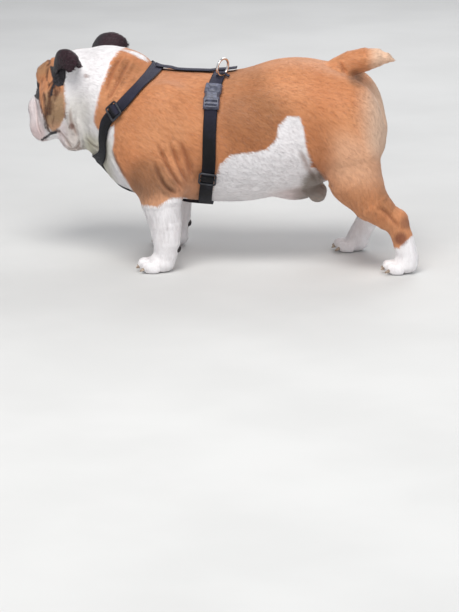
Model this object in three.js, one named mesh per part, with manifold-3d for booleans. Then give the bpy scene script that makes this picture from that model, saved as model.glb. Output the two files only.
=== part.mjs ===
// An adult male english bulldog, life size, standing still in a webbing walking harness.
// Millimetres, +Z up. The nose points to -X, the dog's left side to -Y, and the paws stand on z = 0.
// The head is carried level and turned to the dog's right; the left hind leg is stretched back.
//
// The flesh is one smooth field made of named forms that melt into each other. It is polygonized node
// by node, each with its own step, and parted by flat cuts that leave a small gap between neighbours.

import * as THREE from "three";
import { ConvexGeometry } from "three/addons/geometries/ConvexGeometry.js";
import { mergeVertices } from "three/addons/utils/BufferGeometryUtils.js";
import Module from "manifold-3d";

const wasm = await Module();
wasm.setup();

// driving dimensions

const GAP = 0.3; // between neighbouring nodes
const CLEAR = 0.7; // kept by a piece that is fitted to a rounded neighbour
const SEAT = 0.35; // around a small piece that is let into a larger one
const HEAD_AT = [-279, 30, 337]; // middle of the skull
const HEAD_TURN = 24; // degrees to the dog's right
const EYE_AT = [54, 44, -12]; // in the head's frame: forward, sideways, up
const EYE_RADIUS = 12.5;
const LID = 3;
const NOSE_AT = [72, 0, -27];
const EAR_THICK = 4;
const STRAP_WIDTH = 25;
const STRAP_THICK = 2;
const STRAP_GAP = 1.6; // webbing lies on the coat
const STRAP_OVER = 4.1; // webbing that lies over other webbing
const RING_RADIUS = 16;
const RING_WIRE = 2;

// How far apart the samples of the field stand along x, y and z.
const STEP = {
  torso: [34, 24.5, 24.5],
  neck: [22, 22, 22],
  head: [12.4, 12.4, 11.8],
  nose: [7, 6.6, 6.6],
  thigh: [16, 16, 22],
  foreleg: [12.5, 12.5, 24],
  hindleg: [14, 13, 17],
  paw: [10.4, 9.6, 9.8],
  tail: [16, 10.2, 10.2],
  scrotum: [9.5, 9, 9.5],
};

// small tools

const rad = THREE.MathUtils.degToRad;
const mix = THREE.MathUtils.lerp;

// Two distances melted into one over a band of width k.
function smoothMin(a, b, k) {
  const h = Math.max(k - Math.abs(a - b), 0) / k;
  return Math.min(a, b) - h * h * k * 0.25;
}

// Near distance to an ellipsoid that is tilted about the sideways axis; a positive tilt lifts its front.
function ellipsoid([cx, cy, cz], [rx, ry, rz], tilt = 0) {
  const c = Math.cos(rad(tilt));
  const s = Math.sin(rad(tilt));
  return (x, y, z) => {
    const dx = x - cx;
    const dz = z - cz;
    const px = (c * dx + s * dz) / rx;
    const py = (y - cy) / ry;
    const pz = (c * dz - s * dx) / rz;
    const k0 = Math.hypot(px, py, pz);
    const k1 = Math.hypot(px / rx, py / ry, pz / rz);
    return k1 < 1e-9 ? -Math.min(rx, ry, rz) : (k0 * (k0 - 1)) / k1;
  };
}

// Distance to a round limb that runs through stations [x, y, z, radius].
function limb(stations) {
  return (x, y, z) => {
    let best = Infinity;
    for (let i = 0; i + 1 < stations.length; i++) {
      const [ax, ay, az, ar] = stations[i];
      const [bx, by, bz, br] = stations[i + 1];
      const ux = bx - ax;
      const uy = by - ay;
      const uz = bz - az;
      const along = (x - ax) * ux + (y - ay) * uy + (z - az) * uz;
      const t = Math.min(1, Math.max(0, along / (ux * ux + uy * uy + uz * uz)));
      const d = Math.hypot(x - ax - t * ux, y - ay - t * uy, z - az - t * uz);
      best = Math.min(best, d - mix(ar, br, t));
    }
    return best;
  };
}

// A smooth curve through [station, value] pairs.
function profile(pairs) {
  return (x) => {
    let i = 0;
    while (i + 2 < pairs.length && x > pairs[i + 1][0]) i++;
    const at = (j) => pairs[Math.min(pairs.length - 1, Math.max(0, j))];
    const [p0, p1, p2, p3] = [at(i - 1), at(i), at(i + 1), at(i + 2)];
    const t = Math.min(1, Math.max(0, (x - p1[0]) / (p2[0] - p1[0])));
    const span = p2[0] - p1[0];
    const m1 = ((p2[1] - p0[1]) / (p2[0] - p0[0] || 1)) * span;
    const m2 = ((p3[1] - p1[1]) / (p3[0] - p1[0] || 1)) * span;
    const t2 = t * t;
    const t3 = t2 * t;
    const first = (2 * t3 - 3 * t2 + 1) * p1[1] + (t3 - 2 * t2 + t) * m1;
    const second = (3 * t2 - 2 * t3) * p2[1] + (t3 - t2) * m2;
    return first + second;
  };
}

// the trunk: one barrel between a back line and a belly line

const BACK = profile([[-232, 262], [-205, 318], [-170, 348], [-125, 363], [-60, 363], [0, 363], [50, 371],
  [100, 382], [150, 386], [195, 380], [235, 360], [262, 330], [284, 292], [296, 258]]);
const BELLY = profile([[-232, 212], [-205, 160], [-170, 134], [-125, 122], [-60, 116], [0, 113], [50, 116],
  [100, 126], [150, 138], [195, 158], [235, 190], [262, 216], [284, 236], [296, 250]]);
const BREADTH = profile([[-232, 30], [-205, 82], [-170, 104], [-125, 115], [-60, 119], [0, 120], [50, 119],
  [100, 115], [150, 109], [195, 103], [235, 94], [262, 78], [284, 48], [296, 14]]);
const TRUNK_FRONT = -232;
const TRUNK_REAR = 296;

function trunk(x, y, z) {
  const at = Math.min(TRUNK_REAR, Math.max(TRUNK_FRONT, x));
  const top = BACK(at);
  const bottom = BELLY(at);
  const height = Math.max(4, (top - bottom) / 2);
  const dz = z - (top + bottom) / 2;
  const across = Math.hypot(y / BREADTH(at), dz / height);
  const r = Math.hypot(y, dz);
  const side = across < 1e-6 ? -Math.min(height, BREADTH(at)) : r - r / across;
  const beyondEnd = Math.abs(x - at);
  return side > 0 ? Math.hypot(side, beyondEnd) : Math.max(side, beyondEnd > 0 ? beyondEnd : side);
}

// forms of the body; y is the distance from the middle, so each serves both sides

// name, centre, radii, tilt, blend
const BODY_FORMS = [
  ["shoulder blade", [-122, 82, 268], [58, 42, 84], -18, 38],
  ["upper arm", [-146, 90, 204], [56, 42, 60], 20, 34],
  ["elbow muscle", [-100, 98, 176], [40, 34, 42], 0, 24],
  ["forechest", [-180, 0, 208], [44, 82, 64], 0, 30],
  ["breast point", [-190, 44, 214], [32, 40, 52], 0, 26],
  ["loin", [130, 40, 322], [90, 66, 56], 0, 30],
  ["haunch", [220, 64, 286], [74, 52, 80], 0, 36],
  ["seat bone", [270, 42, 262], [34, 34, 54], 20, 24],
  ["sheath", [128, 0, 133], [40, 16, 17], -3, 14],
];
const SCROTUM_FORMS = [
  ["cord", [170, 0, 153], [18, 15, 18], 0, 8],
  ["testicle", [176, 11.5, 133], [19, 14.5, 19], -10, 7],
];

// The neck is given in true sideways places, since it bends to the dog's right.
const NECK_FORMS = [
  ["neck root", [-178, 4, 272], [74, 102, 92], 0, 44],
  ["neck", [-228, 20, 312], [66, 86, 90], 0, 40],
  ["crest", [-209, 15, 358], [70, 57, 43], 4, 20],
  ["throat", [-226, 20, 250], [58, 64, 48], 0, 34],
];

const FORELEG = limb([[-118, 102, 176, 40], [-112, 107, 134, 39], [-104, 110, 92, 32],
  [-101, 111, 56, 27], [-103, 111, 36, 24], [-110, 111, 20, 20]]);

// Per side: stations of the thigh, the lower leg and the rear pastern.
const HIND_LEGS = {
  left: {
    side: -1,
    thigh: [[228, 72, 288, 60], [242, 84, 226, 57], [252, 90, 176, 48]],
    shank: [[252, 90, 176, 48], [280, 90, 134, 37], [310, 89, 108, 27], [325, 88, 100, 23]],
    pastern: [[329, 88, 98, 21], [342, 88, 62, 21.5], [350, 88, 30, 22]],
  },
  right: {
    side: 1,
    thigh: [[222, 72, 286, 60], [226, 84, 226, 57], [222, 90, 180, 49]],
    shank: [[222, 90, 180, 49], [244, 90, 138, 37], [270, 89, 108, 27], [284, 88, 100, 23]],
    pastern: [[286, 88, 98, 22], [268, 88, 60, 22], [252, 88, 30, 22]],
  },
};

const PAW_PLACES = {
  forepaw_left: { at: [-118, -111], size: 1 },
  forepaw_right: { at: [-111, 111], size: 1 },
  hindpaw_left: { at: [339, -88], size: 0.94 },
  hindpaw_right: { at: [239, 88], size: 0.94 },
};

// Toes in the paw's own frame: forward of the paw's middle, sideways, and how far up the knuckle stands.
const TOES = [
  { name: "outer", ahead: 11, aside: 24, high: 12 },
  { name: "mid_outer", ahead: 20, aside: 9, high: 14 },
  { name: "mid_inner", ahead: 20, aside: -8, high: 14 },
  { name: "inner", ahead: 12, aside: -23, high: 12 },
];
const TOE_RADII = [19, 9.5, 12.5];
const CARPAL_PAD = [-82, 111, 44, 8];
const CLAW_LENGTH = 15;
const CLAW_RADIUS = 3.8;

function pawField({ at: [px, py], size }) {
  const outward = Math.sign(py);
  const pad = ellipsoid([px + 4, py, 14 * size], [28 * size, 27 * size, 17 * size]);
  const toes = TOES.map((toe) =>
    ellipsoid([px - toe.ahead * size, py + outward * toe.aside * size, (toe.high - 2) * size],
      TOE_RADII.map((r) => r * size), -18));
  return (x, y, z) => {
    let d = pad(x, y, z);
    for (const toe of toes) d = smoothMin(d, toe(x, y, z), 5);
    return d;
  };
}

const TAIL = limb([[214, 0, 366, 27], [236, 0, 380, 25], [262, 0, 388, 23.5], [284, 0, 392, 19],
  [302, 0, 392, 12], [315, 0, 388, 5]]);

// forms of the head, in its own frame: forward, sideways from the middle, up

const HEAD_FORMS = [
  ["skull", [-16, 0, 2], [76, 76, 54], 0, 30],
  ["ear root", [-8, 54, 32], [28, 24, 20], 0, 20],
  ["forehead", [14, 25, 27], [37, 34, 27], -10, 14],
  ["brow", [48, 33, 9], [26, 27, 28], 0, 16],
  ["cheek", [12, 60, -42], [42, 34, 52], 0, 24],
  ["cheekbone", [42, 54, -28], [22, 20, 16], 0, 14],
  ["muzzle", [54, 0, -54], [38, 46, 42], 0, 16],
  ["cushion", [69, 29, -56], [26, 29, 30], 0, 8],
  ["flew", [56, 46, -84], [29, 16, 34], 8, 9],
  ["jaw", [10, 34, -82], [52, 38, 29], 0, 20],
  ["chin", [62, 0, -97], [40, 36, 17], 8, 8],
  ["lower lip", [91, 0, -92], [11, 26, 11], 0, 8],
  ["jowl", [-9, 44, -99], [27, 22, 30], 0, 10],
];
// The roll of skin that runs from over the nose down beside the muzzle.
const NOSE_ROLL = limb([[70, 0, -4, 9], [66, 26, -12, 9], [60, 47, -34, 8], [50, 60, -58, 6]]);
const ROLL_BLEND = 6;
const FURROW = limb([[10, 0, 70, 7], [56, 0, 52, 8], [76, 0, 14, 8]]);
const NOSE_FORMS = [
  ["leather", NOSE_AT, [14, 22, 16], 0, 4],
  ["wing", [75, 14, -30], [12, 11, 12], 0, 4],
];
// Grooves cut into the head, drawn near its surface and set on it.
const MOUTH_LINE = [[104, 0, -77], [99, 16, -79], [94, 28, -88], [84, 40, -106], [64, 50, -118],
  [40, 54, -116]];
const LIP_CLEFT = [[99, 0, -44], [101, 0, -60], [103, 0, -76]];
const GROOVE_RADIUS = 2.2;
const NOSTRIL = [[93, 6, -31, 1.6], [87, 9, -28, 3.6], [78, 13, -27, 3.2]];

// The ear's sheet from front to tip: where it roots, its folded rim, and its free edge.
const EAR_ROOT = [[9, 62, 26], [4, 60, 42], [-6, 56, 50], [-18, 54, 50], [-28, 56, 44], [-34, 60, 38]];
const EAR_RIM = [[11, 74, 32], [7, 77, 51], [-5, 84, 67], [-24, 90, 71], [-43, 94, 66], [-51, 95, 49]];
const EAR_EDGE = [[4, 80, 23], [-3, 86, 32], [-15, 92, 38], [-27, 97, 37], [-38, 99, 31], [-46, 97, 28]];
const EAR_CARRIED = { 1: [0, 0], [-1]: [6, 7] }; // how much further forward and higher each rim is held

const turnCos = Math.cos(rad(HEAD_TURN));
const turnSin = Math.sin(rad(HEAD_TURN));
// The head's axes in the body's frame: forward, to its own left, up.
const HEAD_MATRIX = new THREE.Matrix4().makeBasis(
  new THREE.Vector3(-turnCos, turnSin, 0),
  new THREE.Vector3(-turnSin, -turnCos, 0),
  new THREE.Vector3(0, 0, 1),
).setPosition(...HEAD_AT);

function makeForms(rows) {
  return rows.map(([, at, radii, tilt, blend]) => ({ field: ellipsoid(at, radii, tilt), blend }));
}

function melt(forms, x, y, z, start = Infinity) {
  return forms.reduce((d, { field, blend }) => smoothMin(d, field(x, y, z), blend), start);
}

const headForms = makeForms(HEAD_FORMS);
const bodyForms = makeForms(BODY_FORMS);
const neckForms = makeForms(NECK_FORMS);
const noseForms = makeForms(NOSE_FORMS);
const scrotumForms = makeForms(SCROTUM_FORMS);

// The head's field in its own frame.
function headShape(f, s, u) {
  let d = melt(headForms, f, Math.abs(s), u);
  d = smoothMin(d, NOSE_ROLL(f, Math.abs(s), u), ROLL_BLEND);
  return -smoothMin(-d, FURROW(f, Math.abs(s), u), 12);
}

function headField(x, y, z) {
  const dx = x - HEAD_AT[0];
  const dy = y - HEAD_AT[1];
  return headShape(-turnCos * dx + turnSin * dy, -turnSin * dx - turnCos * dy, z - HEAD_AT[2]);
}

const hindLegFields = Object.values(HIND_LEGS).map(({ side, thigh, shank, pastern }) => {
  const parts = [[limb(thigh), 30], [limb(shank), 14], [limb(pastern), 14]];
  return (x, y, z) => parts.reduce(
    (d, [field, blend]) => smoothMin(d, field(x, side * y, z), blend), Infinity);
});
const pawFields = Object.values(PAW_PLACES).map(pawField);

// All the flesh, with paws that reach a little below the floor.
function unfloored(x, y, z) {
  const s = Math.abs(y);
  let d = melt(bodyForms, x, s, z, trunk(x, y, z));
  d = melt(neckForms, x, y, z, d);
  d = smoothMin(d, headField(x, y, z), 22);
  d = smoothMin(d, FORELEG(x, s, z), 22);
  for (const field of hindLegFields) d = smoothMin(d, field(x, y, z), 26);
  for (const field of pawFields) d = smoothMin(d, field(x, y, z), 12);
  return smoothMin(d, TAIL(x, y, z), 10);
}

const flesh = (x, y, z) => Math.max(unfloored(x, y, z), -z);

// polygonizing

// Where only one diagonal of a cell's face is inside, the surface would meet itself along an edge. The
// inside corner that is nearest to the surface is moved out.
function untangle(values, count) {
  const strides = [1, count[0], count[0] * count[1]];
  const place = (at, axis) => Math.floor(at / strides[axis]) % count[axis];
  for (const [p, q] of [[0, 1], [0, 2], [1, 2], [0, 1], [0, 2], [1, 2]])
    for (let at = 0; at < values.length; at++) {
      if (place(at, p) + 1 >= count[p] || place(at, q) + 1 >= count[q]) continue;
      const corners = [at, at + strides[p], at + strides[q], at + strides[p] + strides[q]];
      const [a, b, c, d] = corners.map((i) => values[i] < 0);
      if (a !== d || b !== c || a === b) continue;
      const [first, second] = corners.filter((i) => values[i] < 0);
      values[values[first] > values[second] ? first : second] = 0.2;
    }
}

// A closed mesh of field = 0 inside a box, by one vertex in each cell that the surface crosses.
function polygonize(field, low, high, step, matrix) {
  const n = low.map((v, a) => Math.max(4, Math.ceil((high[a] - v) / step[a]) + 1));
  const [nx, ny, nz] = n;
  const h = low.map((v, a) => (high[a] - v) / (n[a] - 1));
  const index = (i, j, k) => (k * ny + j) * nx + i;
  const values = new Float64Array(nx * ny * nz);
  for (let k = 0; k < nz; k++)
    for (let j = 0; j < ny; j++)
      for (let i = 0; i < nx; i++) {
        const rim = i === 0 || j === 0 || k === 0 || i === nx - 1 || j === ny - 1 || k === nz - 1;
        const v = field(low[0] + i * h[0], low[1] + j * h[1], low[2] + k * h[2]);
        values[index(i, j, k)] = rim ? Math.max(v, 0.3 * step[2]) : v;
      }
  untangle(values, n);
  const positions = [];
  const cell = new Int32Array(nx * ny * nz).fill(-1);
  const edges = [];
  for (let c = 0; c < 8; c++) for (const bit of [1, 2, 4]) if (!(c & bit)) edges.push([c, c | bit]);
  for (let k = 0; k + 1 < nz; k++)
    for (let j = 0; j + 1 < ny; j++)
      for (let i = 0; i + 1 < nx; i++) {
        const corner = [0, 1, 2, 3, 4, 5, 6, 7].map(
          (c) => values[index(i + (c & 1), j + ((c >> 1) & 1), k + (c >> 2))]);
        let count = 0;
        const sum = [0, 0, 0];
        for (const [a, b] of edges) {
          if (corner[a] < 0 === corner[b] < 0) continue;
          const t = corner[a] / (corner[a] - corner[b]);
          for (let axis = 0; axis < 3; axis++)
            sum[axis] += mix((a >> axis) & 1, (b >> axis) & 1, t);
          count++;
        }
        if (!count) continue;
        cell[index(i, j, k)] = positions.length / 3;
        positions.push(low[0] + (i + sum[0] / count) * h[0], low[1] + (j + sum[1] / count) * h[1],
          low[2] + (k + sum[2] / count) * h[2]);
      }
  const faces = [];
  const quad = (a, b, c, d, flip) => {
    if (flip) faces.push(a, c, b, a, d, c);
    else faces.push(a, b, c, a, c, d);
  };
  for (let k = 0; k + 1 < nz; k++)
    for (let j = 0; j + 1 < ny; j++)
      for (let i = 0; i + 1 < nx; i++) {
        const here = values[index(i, j, k)] < 0;
        if (j && k && here !== values[index(i + 1, j, k)] < 0)
          quad(cell[index(i, j - 1, k - 1)], cell[index(i, j, k - 1)], cell[index(i, j, k)],
            cell[index(i, j - 1, k)], !here);
        if (i && k && here !== values[index(i, j + 1, k)] < 0)
          quad(cell[index(i - 1, j, k - 1)], cell[index(i - 1, j, k)], cell[index(i, j, k)],
            cell[index(i, j, k - 1)], !here);
        if (i && j && here !== values[index(i, j, k + 1)] < 0)
          quad(cell[index(i - 1, j - 1, k)], cell[index(i, j - 1, k)], cell[index(i, j, k)],
            cell[index(i - 1, j, k)], !here);
      }
  return toSolid(positions, faces, matrix);
}

// A solid of points and triangles, turned to face out.
function toSolid(positions, faces, matrix = new THREE.Matrix4()) {
  const moved = new THREE.BufferAttribute(new Float32Array(positions), 3).applyMatrix4(matrix);
  const at = (i) => new THREE.Vector3().fromBufferAttribute(moved, i);
  let volume = 0;
  for (let i = 0; i < faces.length; i += 3) {
    const [a, b, c] = [at(faces[i]), at(faces[i + 1]), at(faces[i + 2])];
    volume += a.dot(b.cross(c));
  }
  const triVerts = new Uint32Array(faces);
  if (volume < 0) triVerts.reverse();
  return new wasm.Manifold(new wasm.Mesh({ numProp: 3, vertProperties: moved.array, triVerts }));
}

// A three.js geometry, moved by a matrix, as a solid.
function solidOf(geometry, matrix) {
  const bare = geometry.clone();
  for (const name of ["normal", "uv"]) bare.deleteAttribute(name);
  const merged = mergeVertices(bare, 1e-3);
  return toSolid(merged.attributes.position.array, Array.from(merged.index.array), matrix);
}

function geometryOf(solid) {
  const { numProp, numVert, vertProperties, triVerts } = solid.getMesh();
  const positions = new Float32Array(numVert * 3);
  for (let i = 0; i < numVert; i++)
    positions.set(vertProperties.subarray(i * numProp, i * numProp + 3), i * 3);
  const geometry = new THREE.BufferGeometry();
  geometry.setAttribute("position", new THREE.BufferAttribute(positions, 3));
  geometry.setIndex(new THREE.BufferAttribute(triVerts, 1));
  geometry.computeVertexNormals();
  return geometry;
}

// The largest closed surface of a solid: drops scraps and fills hollows.
function largest(solid) {
  return solid.decompose().reduce((best, s) => (s.volume() > best.volume() ? s : best));
}

const join = (solids) => solids.reduce((a, b) => a.add(b));
const cut = (solid, ...tools) => tools.reduce((a, b) => a.subtract(b), solid);
const hull = (points) => solidOf(new ConvexGeometry(points.map((p) => new THREE.Vector3(...p))));
const vec = (p) => new THREE.Vector3(...p);

// The part of a solid on the side that the normal shows, less half a gap.
function keep(solid, point, normal) {
  const n = vec(normal).normalize();
  const turn = new THREE.Quaternion().setFromUnitVectors(new THREE.Vector3(0, 0, 1), n);
  const at = vec(point).addScaledVector(n, GAP / 2 - 300);
  const block = solidOf(new THREE.BoxGeometry(1200, 1200, 600),
    new THREE.Matrix4().compose(at, turn, new THREE.Vector3(1, 1, 1)));
  return solid.subtract(block);
}

const opposite = (normal) => normal.map((v) => -v);

// A point's way to the surface where a field has a given value.
function settle(field, point, value = 0) {
  const p = vec(point);
  for (let i = 0; i < 6; i++) {
    const d = field(p.x, p.y, p.z) - value;
    p.addScaledVector(slope(field, p), -d);
  }
  return p;
}

function slope(field, { x, y, z }) {
  const e = 0.5;
  return new THREE.Vector3(
    field(x + e, y, z) - field(x - e, y, z),
    field(x, y + e, z) - field(x, y - e, z),
    field(x, y, z + e) - field(x, y, z - e),
  ).normalize();
}

// A closed skin over rings of equal count, with flat ends.
function loft(rings, matrix) {
  const count = rings[0].length;
  const positions = rings.flat().flatMap((p) => [p.x, p.y, p.z]);
  const faces = [];
  for (let i = 0; i + 1 < rings.length; i++)
    for (let j = 0; j < count; j++) {
      const a = i * count + j;
      const b = i * count + ((j + 1) % count);
      faces.push(a, b, b + count, a, b + count, a + count);
    }
  const last = (rings.length - 1) * count;
  for (let j = 1; j + 1 < count; j++) {
    faces.push(0, j + 1, j);
    faces.push(last, last + j, last + j + 1);
  }
  return toSolid(positions, faces, matrix);
}

// A round bar through stations [x, y, z, radius].
function bar(stations, sides, matrix) {
  const points = stations.map((s) => new THREE.Vector3(s[0], s[1], s[2]));
  const rings = points.map((p, i) => {
    const ahead = points[Math.min(points.length - 1, i + 1)];
    const along = ahead.clone().sub(points[Math.max(0, i - 1)]).normalize();
    const across = new THREE.Vector3(0, 0, 1).cross(along);
    if (across.length() < 0.2) across.set(0, 1, 0).cross(along);
    across.normalize();
    const third = along.clone().cross(across);
    return Array.from({ length: sides }, (_, j) => {
      const a = (2 * Math.PI * j) / sides;
      return p.clone().addScaledVector(across, stations[i][3] * Math.cos(a))
        .addScaledVector(third, stations[i][3] * Math.sin(a));
    });
  });
  return loft(rings, matrix);
}

// webbing: a ribbon of given width laid on the coat along a path, bridging its hollows

const pushedOut = (p, lift) => (flesh(p.x, p.y, p.z) < lift ? settle(flesh, p.toArray(), lift) : p);

function taut(path, rounds = 160) {
  const points = path.map((p) => p.clone());
  for (let round = 0; round < rounds; round++)
    for (let i = 1; i + 1 < points.length; i++) {
      const middle = points[i - 1].clone().add(points[i + 1]).multiplyScalar(0.5);
      const up = slope(flesh, points[i]);
      const rise = middle.sub(points[i]).dot(up);
      if (rise > 0) points[i].addScaledVector(up, rise);
    }
  return points;
}

function ribbon(path, { width = STRAP_WIDTH, thick = STRAP_THICK, lift = () => STRAP_GAP, slack = false }) {
  const points = slack ? path : taut(path);
  const rings = points.map((p, i) => {
    const ahead = points[Math.min(points.length - 1, i + 1)];
    const along = ahead.clone().sub(points[Math.max(0, i - 1)]).normalize();
    const up = slope(flesh, p);
    const across = along.clone().cross(up).normalize();
    const t = i / (points.length - 1);
    const lower = [-1, 0, 1].map((side) =>
      pushedOut(p.clone().addScaledVector(across, (side * width) / 2), lift(t)));
    const upper = lower.map((q) => q.clone().addScaledVector(up, thick));
    return [...lower, ...upper.reverse()];
  });
  return loft(rings);
}

// A point of the coat at an angle from the top of a loop whose plane is given by x at each height.
function loopPoint(angle, xAt, lift) {
  let inside = 10;
  let outside = 260;
  const at = (r) => {
    const z = LOOP_HEIGHT + r * Math.cos(angle);
    return [xAt(z), r * Math.sin(angle), z];
  };
  for (let i = 0; i < 30; i++) {
    const middle = (inside + outside) / 2;
    if (flesh(...at(middle)) < lift) inside = middle;
    else outside = middle;
  }
  return vec(at(inside));
}

const LOOP_HEIGHT = 250;
const NECK_LOOP = profile([[176, -262], [192, -242], [206, -229], [222, -223], [245, -223], [282, -214],
  [308, -190], [345, -156], [363, -136], [374, -124]]);
const GIRTH_LOOP = profile([[112, -36], [180, -24], [214, -20.5], [269, -19.5], [330, -17], [350, -13],
  [366, -6]]);

function loopPath(side, xAt, from, to, count) {
  const angle = (i) => side * rad(mix(from, to, i / (count - 1)));
  return Array.from({ length: count }, (_, i) => loopPoint(angle(i), xAt, STRAP_GAP));
}

// where the nodes part: a point of the cut and the way it faces

const HEAD_CUT = { at: [-240, 11, 337], facing: [-0.978, 0.208, 0.15] };
const NECK_CUT = { at: [-160, 0, 350], facing: [-0.9, 0, 0.43] };
const TAIL_CUT = { at: [240, 0, 364], facing: [0.74, 0, 0.67] };
const KNEE_CUTS = {
  left: { at: [266, 0, 155], facing: [0.555, 0, -0.832] },
  right: { at: [233, 0, 159], facing: [0.464, 0, -0.886] },
};
const PAW_HEIGHT = 32;
// A leg's region is a prism along x under a slanted face that rises from the groin or armpit outward.
const LEG_REGIONS = {
  fore: { x: [-200, -52], inner: 30, outer: 170, innerTop: 112, outerTop: 220 },
  hind: { x: [165, 420], inner: 30, outer: 170, innerTop: 158, outerTop: 294 },
};

function legRegion({ x, inner, outer, innerTop, outerTop }, side, inset) {
  const points = [];
  for (const px of [x[0] + inset, x[1] - inset]) {
    points.push([px, side * (inner + inset), -20], [px, side * (inner + inset), innerTop - inset]);
    points.push([px, side * outer, -20], [px, side * outer, outerTop - inset]);
  }
  return hull(points);
}

const grown = (field) => (x, y, z) => field(x, y, z) - CLEAR;
const UP = [0, 0, 1];
const DOWN = [0, 0, -1];

// materials

function paint(color, roughness, metalness = 0) {
  return new THREE.MeshStandardMaterial({ color, roughness, metalness });
}

const fawnCoat = paint(0xb5713f, 0.85);
const whiteCoat = paint(0xe9e2da, 0.85);
const darkCoat = paint(0x2a2022, 0.8);
const bareSkin = paint(0x8c7468, 0.7);
const eyeball = paint(0x2b1a10, 0.1);
const leather = paint(0x1d1919, 0.45);
const horn = paint(0xcdb9a4, 0.5);
const webbing = paint(0x17171c, 0.8);
const plastic = paint(0x2c2e33, 0.5);
const steel = paint(0xc4c7ca, 0.25, 1);

const bulldog = new THREE.Group();

function add(name, solid, material) {
  const mesh = new THREE.Mesh(geometryOf(largest(solid)), material.clone());
  mesh.name = name;
  bulldog.add(mesh);
}

// torso, neck and tail

const TORSO_BOX = [[-246, -150, 96], [316, 150, 402]];
const legRegions = [-1, 1].flatMap((side) =>
  Object.values(LEG_REGIONS).map((region) => legRegion(region, side, 0)));
const scrotumShape = (x, y, z) => melt(scrotumForms, x, Math.abs(y), z);
const SCROTUM_BOX = [[146, -36, 104], [204, 36, 178]];
const bareTorso = cut(polygonize(flesh, ...TORSO_BOX, STEP.torso), ...legRegions,
  polygonize(grown(scrotumShape), ...SCROTUM_BOX, STEP.scrotum));
const withoutNeck = keep(bareTorso, NECK_CUT.at, opposite(NECK_CUT.facing));
add("torso", keep(withoutNeck, TAIL_CUT.at, opposite(TAIL_CUT.facing)), fawnCoat);
const torsoClear = polygonize(grown(flesh), ...TORSO_BOX, STEP.torso);

const NECK_BOX = [[-310, -130, 176], [-120, 150, 430]];
const bareNeck = polygonize(flesh, ...NECK_BOX, STEP.neck);
const withoutHead = keep(bareNeck, HEAD_CUT.at, opposite(HEAD_CUT.facing));
const partedNeck = keep(withoutHead, NECK_CUT.at, NECK_CUT.facing);
const neckClear = polygonize(grown(flesh), ...NECK_BOX, STEP.neck);

const tail = polygonize(flesh, [190, -50, 330], [330, 50, 430], STEP.tail);
add("tail", keep(tail, TAIL_CUT.at, TAIL_CUT.facing), fawnCoat);

add("scrotum", polygonize(scrotumShape, ...SCROTUM_BOX, STEP.scrotum), bareSkin);

// head: lids, sockets, mouth, cleft and nose seat are joined to it or cut from it

function headPoint([f, s, u]) {
  return new THREE.Vector3(f, s, u).applyMatrix4(HEAD_MATRIX);
}

function ball([f, s, u], radius) {
  return solidOf(new THREE.SphereGeometry(radius, 14, 8),
    new THREE.Matrix4().makeTranslation(f, s, u).premultiply(HEAD_MATRIX));
}

const GAZE = [0.86, 0.5, 0.04];
const LID_OPENING = [[-32, 0], [-14, 14], [12, 14], [32, 0], [12, -12], [-14, -12]];

// The almond between the lids, as a cone from the middle of the eye.
function lidOpening(side) {
  const gaze = new THREE.Vector3(GAZE[0], side * GAZE[1], GAZE[2]).normalize();
  const level = new THREE.Vector3(0, 0, 1).cross(gaze).normalize();
  const upward = gaze.clone().cross(level);
  const centre = new THREE.Vector3(EYE_AT[0], side * EYE_AT[1], EYE_AT[2]);
  const far = LID_OPENING.map(([a, b]) =>
    centre.clone().addScaledVector(gaze, 30).addScaledVector(level, a).addScaledVector(upward, b));
  return hull([centre, ...far].map((p) => headPoint(p.toArray()).toArray()));
}

const eyeCentre = (side) => [EYE_AT[0], side * EYE_AT[1], EYE_AT[2]];
const noseShape = (f, s, u) => melt(noseForms, f, Math.abs(s), u);
const NOSE_BOX = [[46, -34, -54], [98, 34, -2]];

// A groove that runs over the head's surface, on both sides of the middle.
function groove(line, radius) {
  const curve = new THREE.CatmullRomCurve3(line.map(vec));
  const count = line.length * 3;
  const half = Array.from({ length: count }, (_, i) =>
    settle(headShape, curve.getPoint(i / (count - 1)).toArray()));
  const other = half.slice(1).map((p) => new THREE.Vector3(p.x, -p.y, p.z)).reverse();
  const whole = half[0].y === 0 && half[count - 1].y !== 0 ? [...other, ...half] : half;
  return bar(whole.map((p) => [p.x, p.y, p.z, radius]), 6, HEAD_MATRIX);
}

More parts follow.
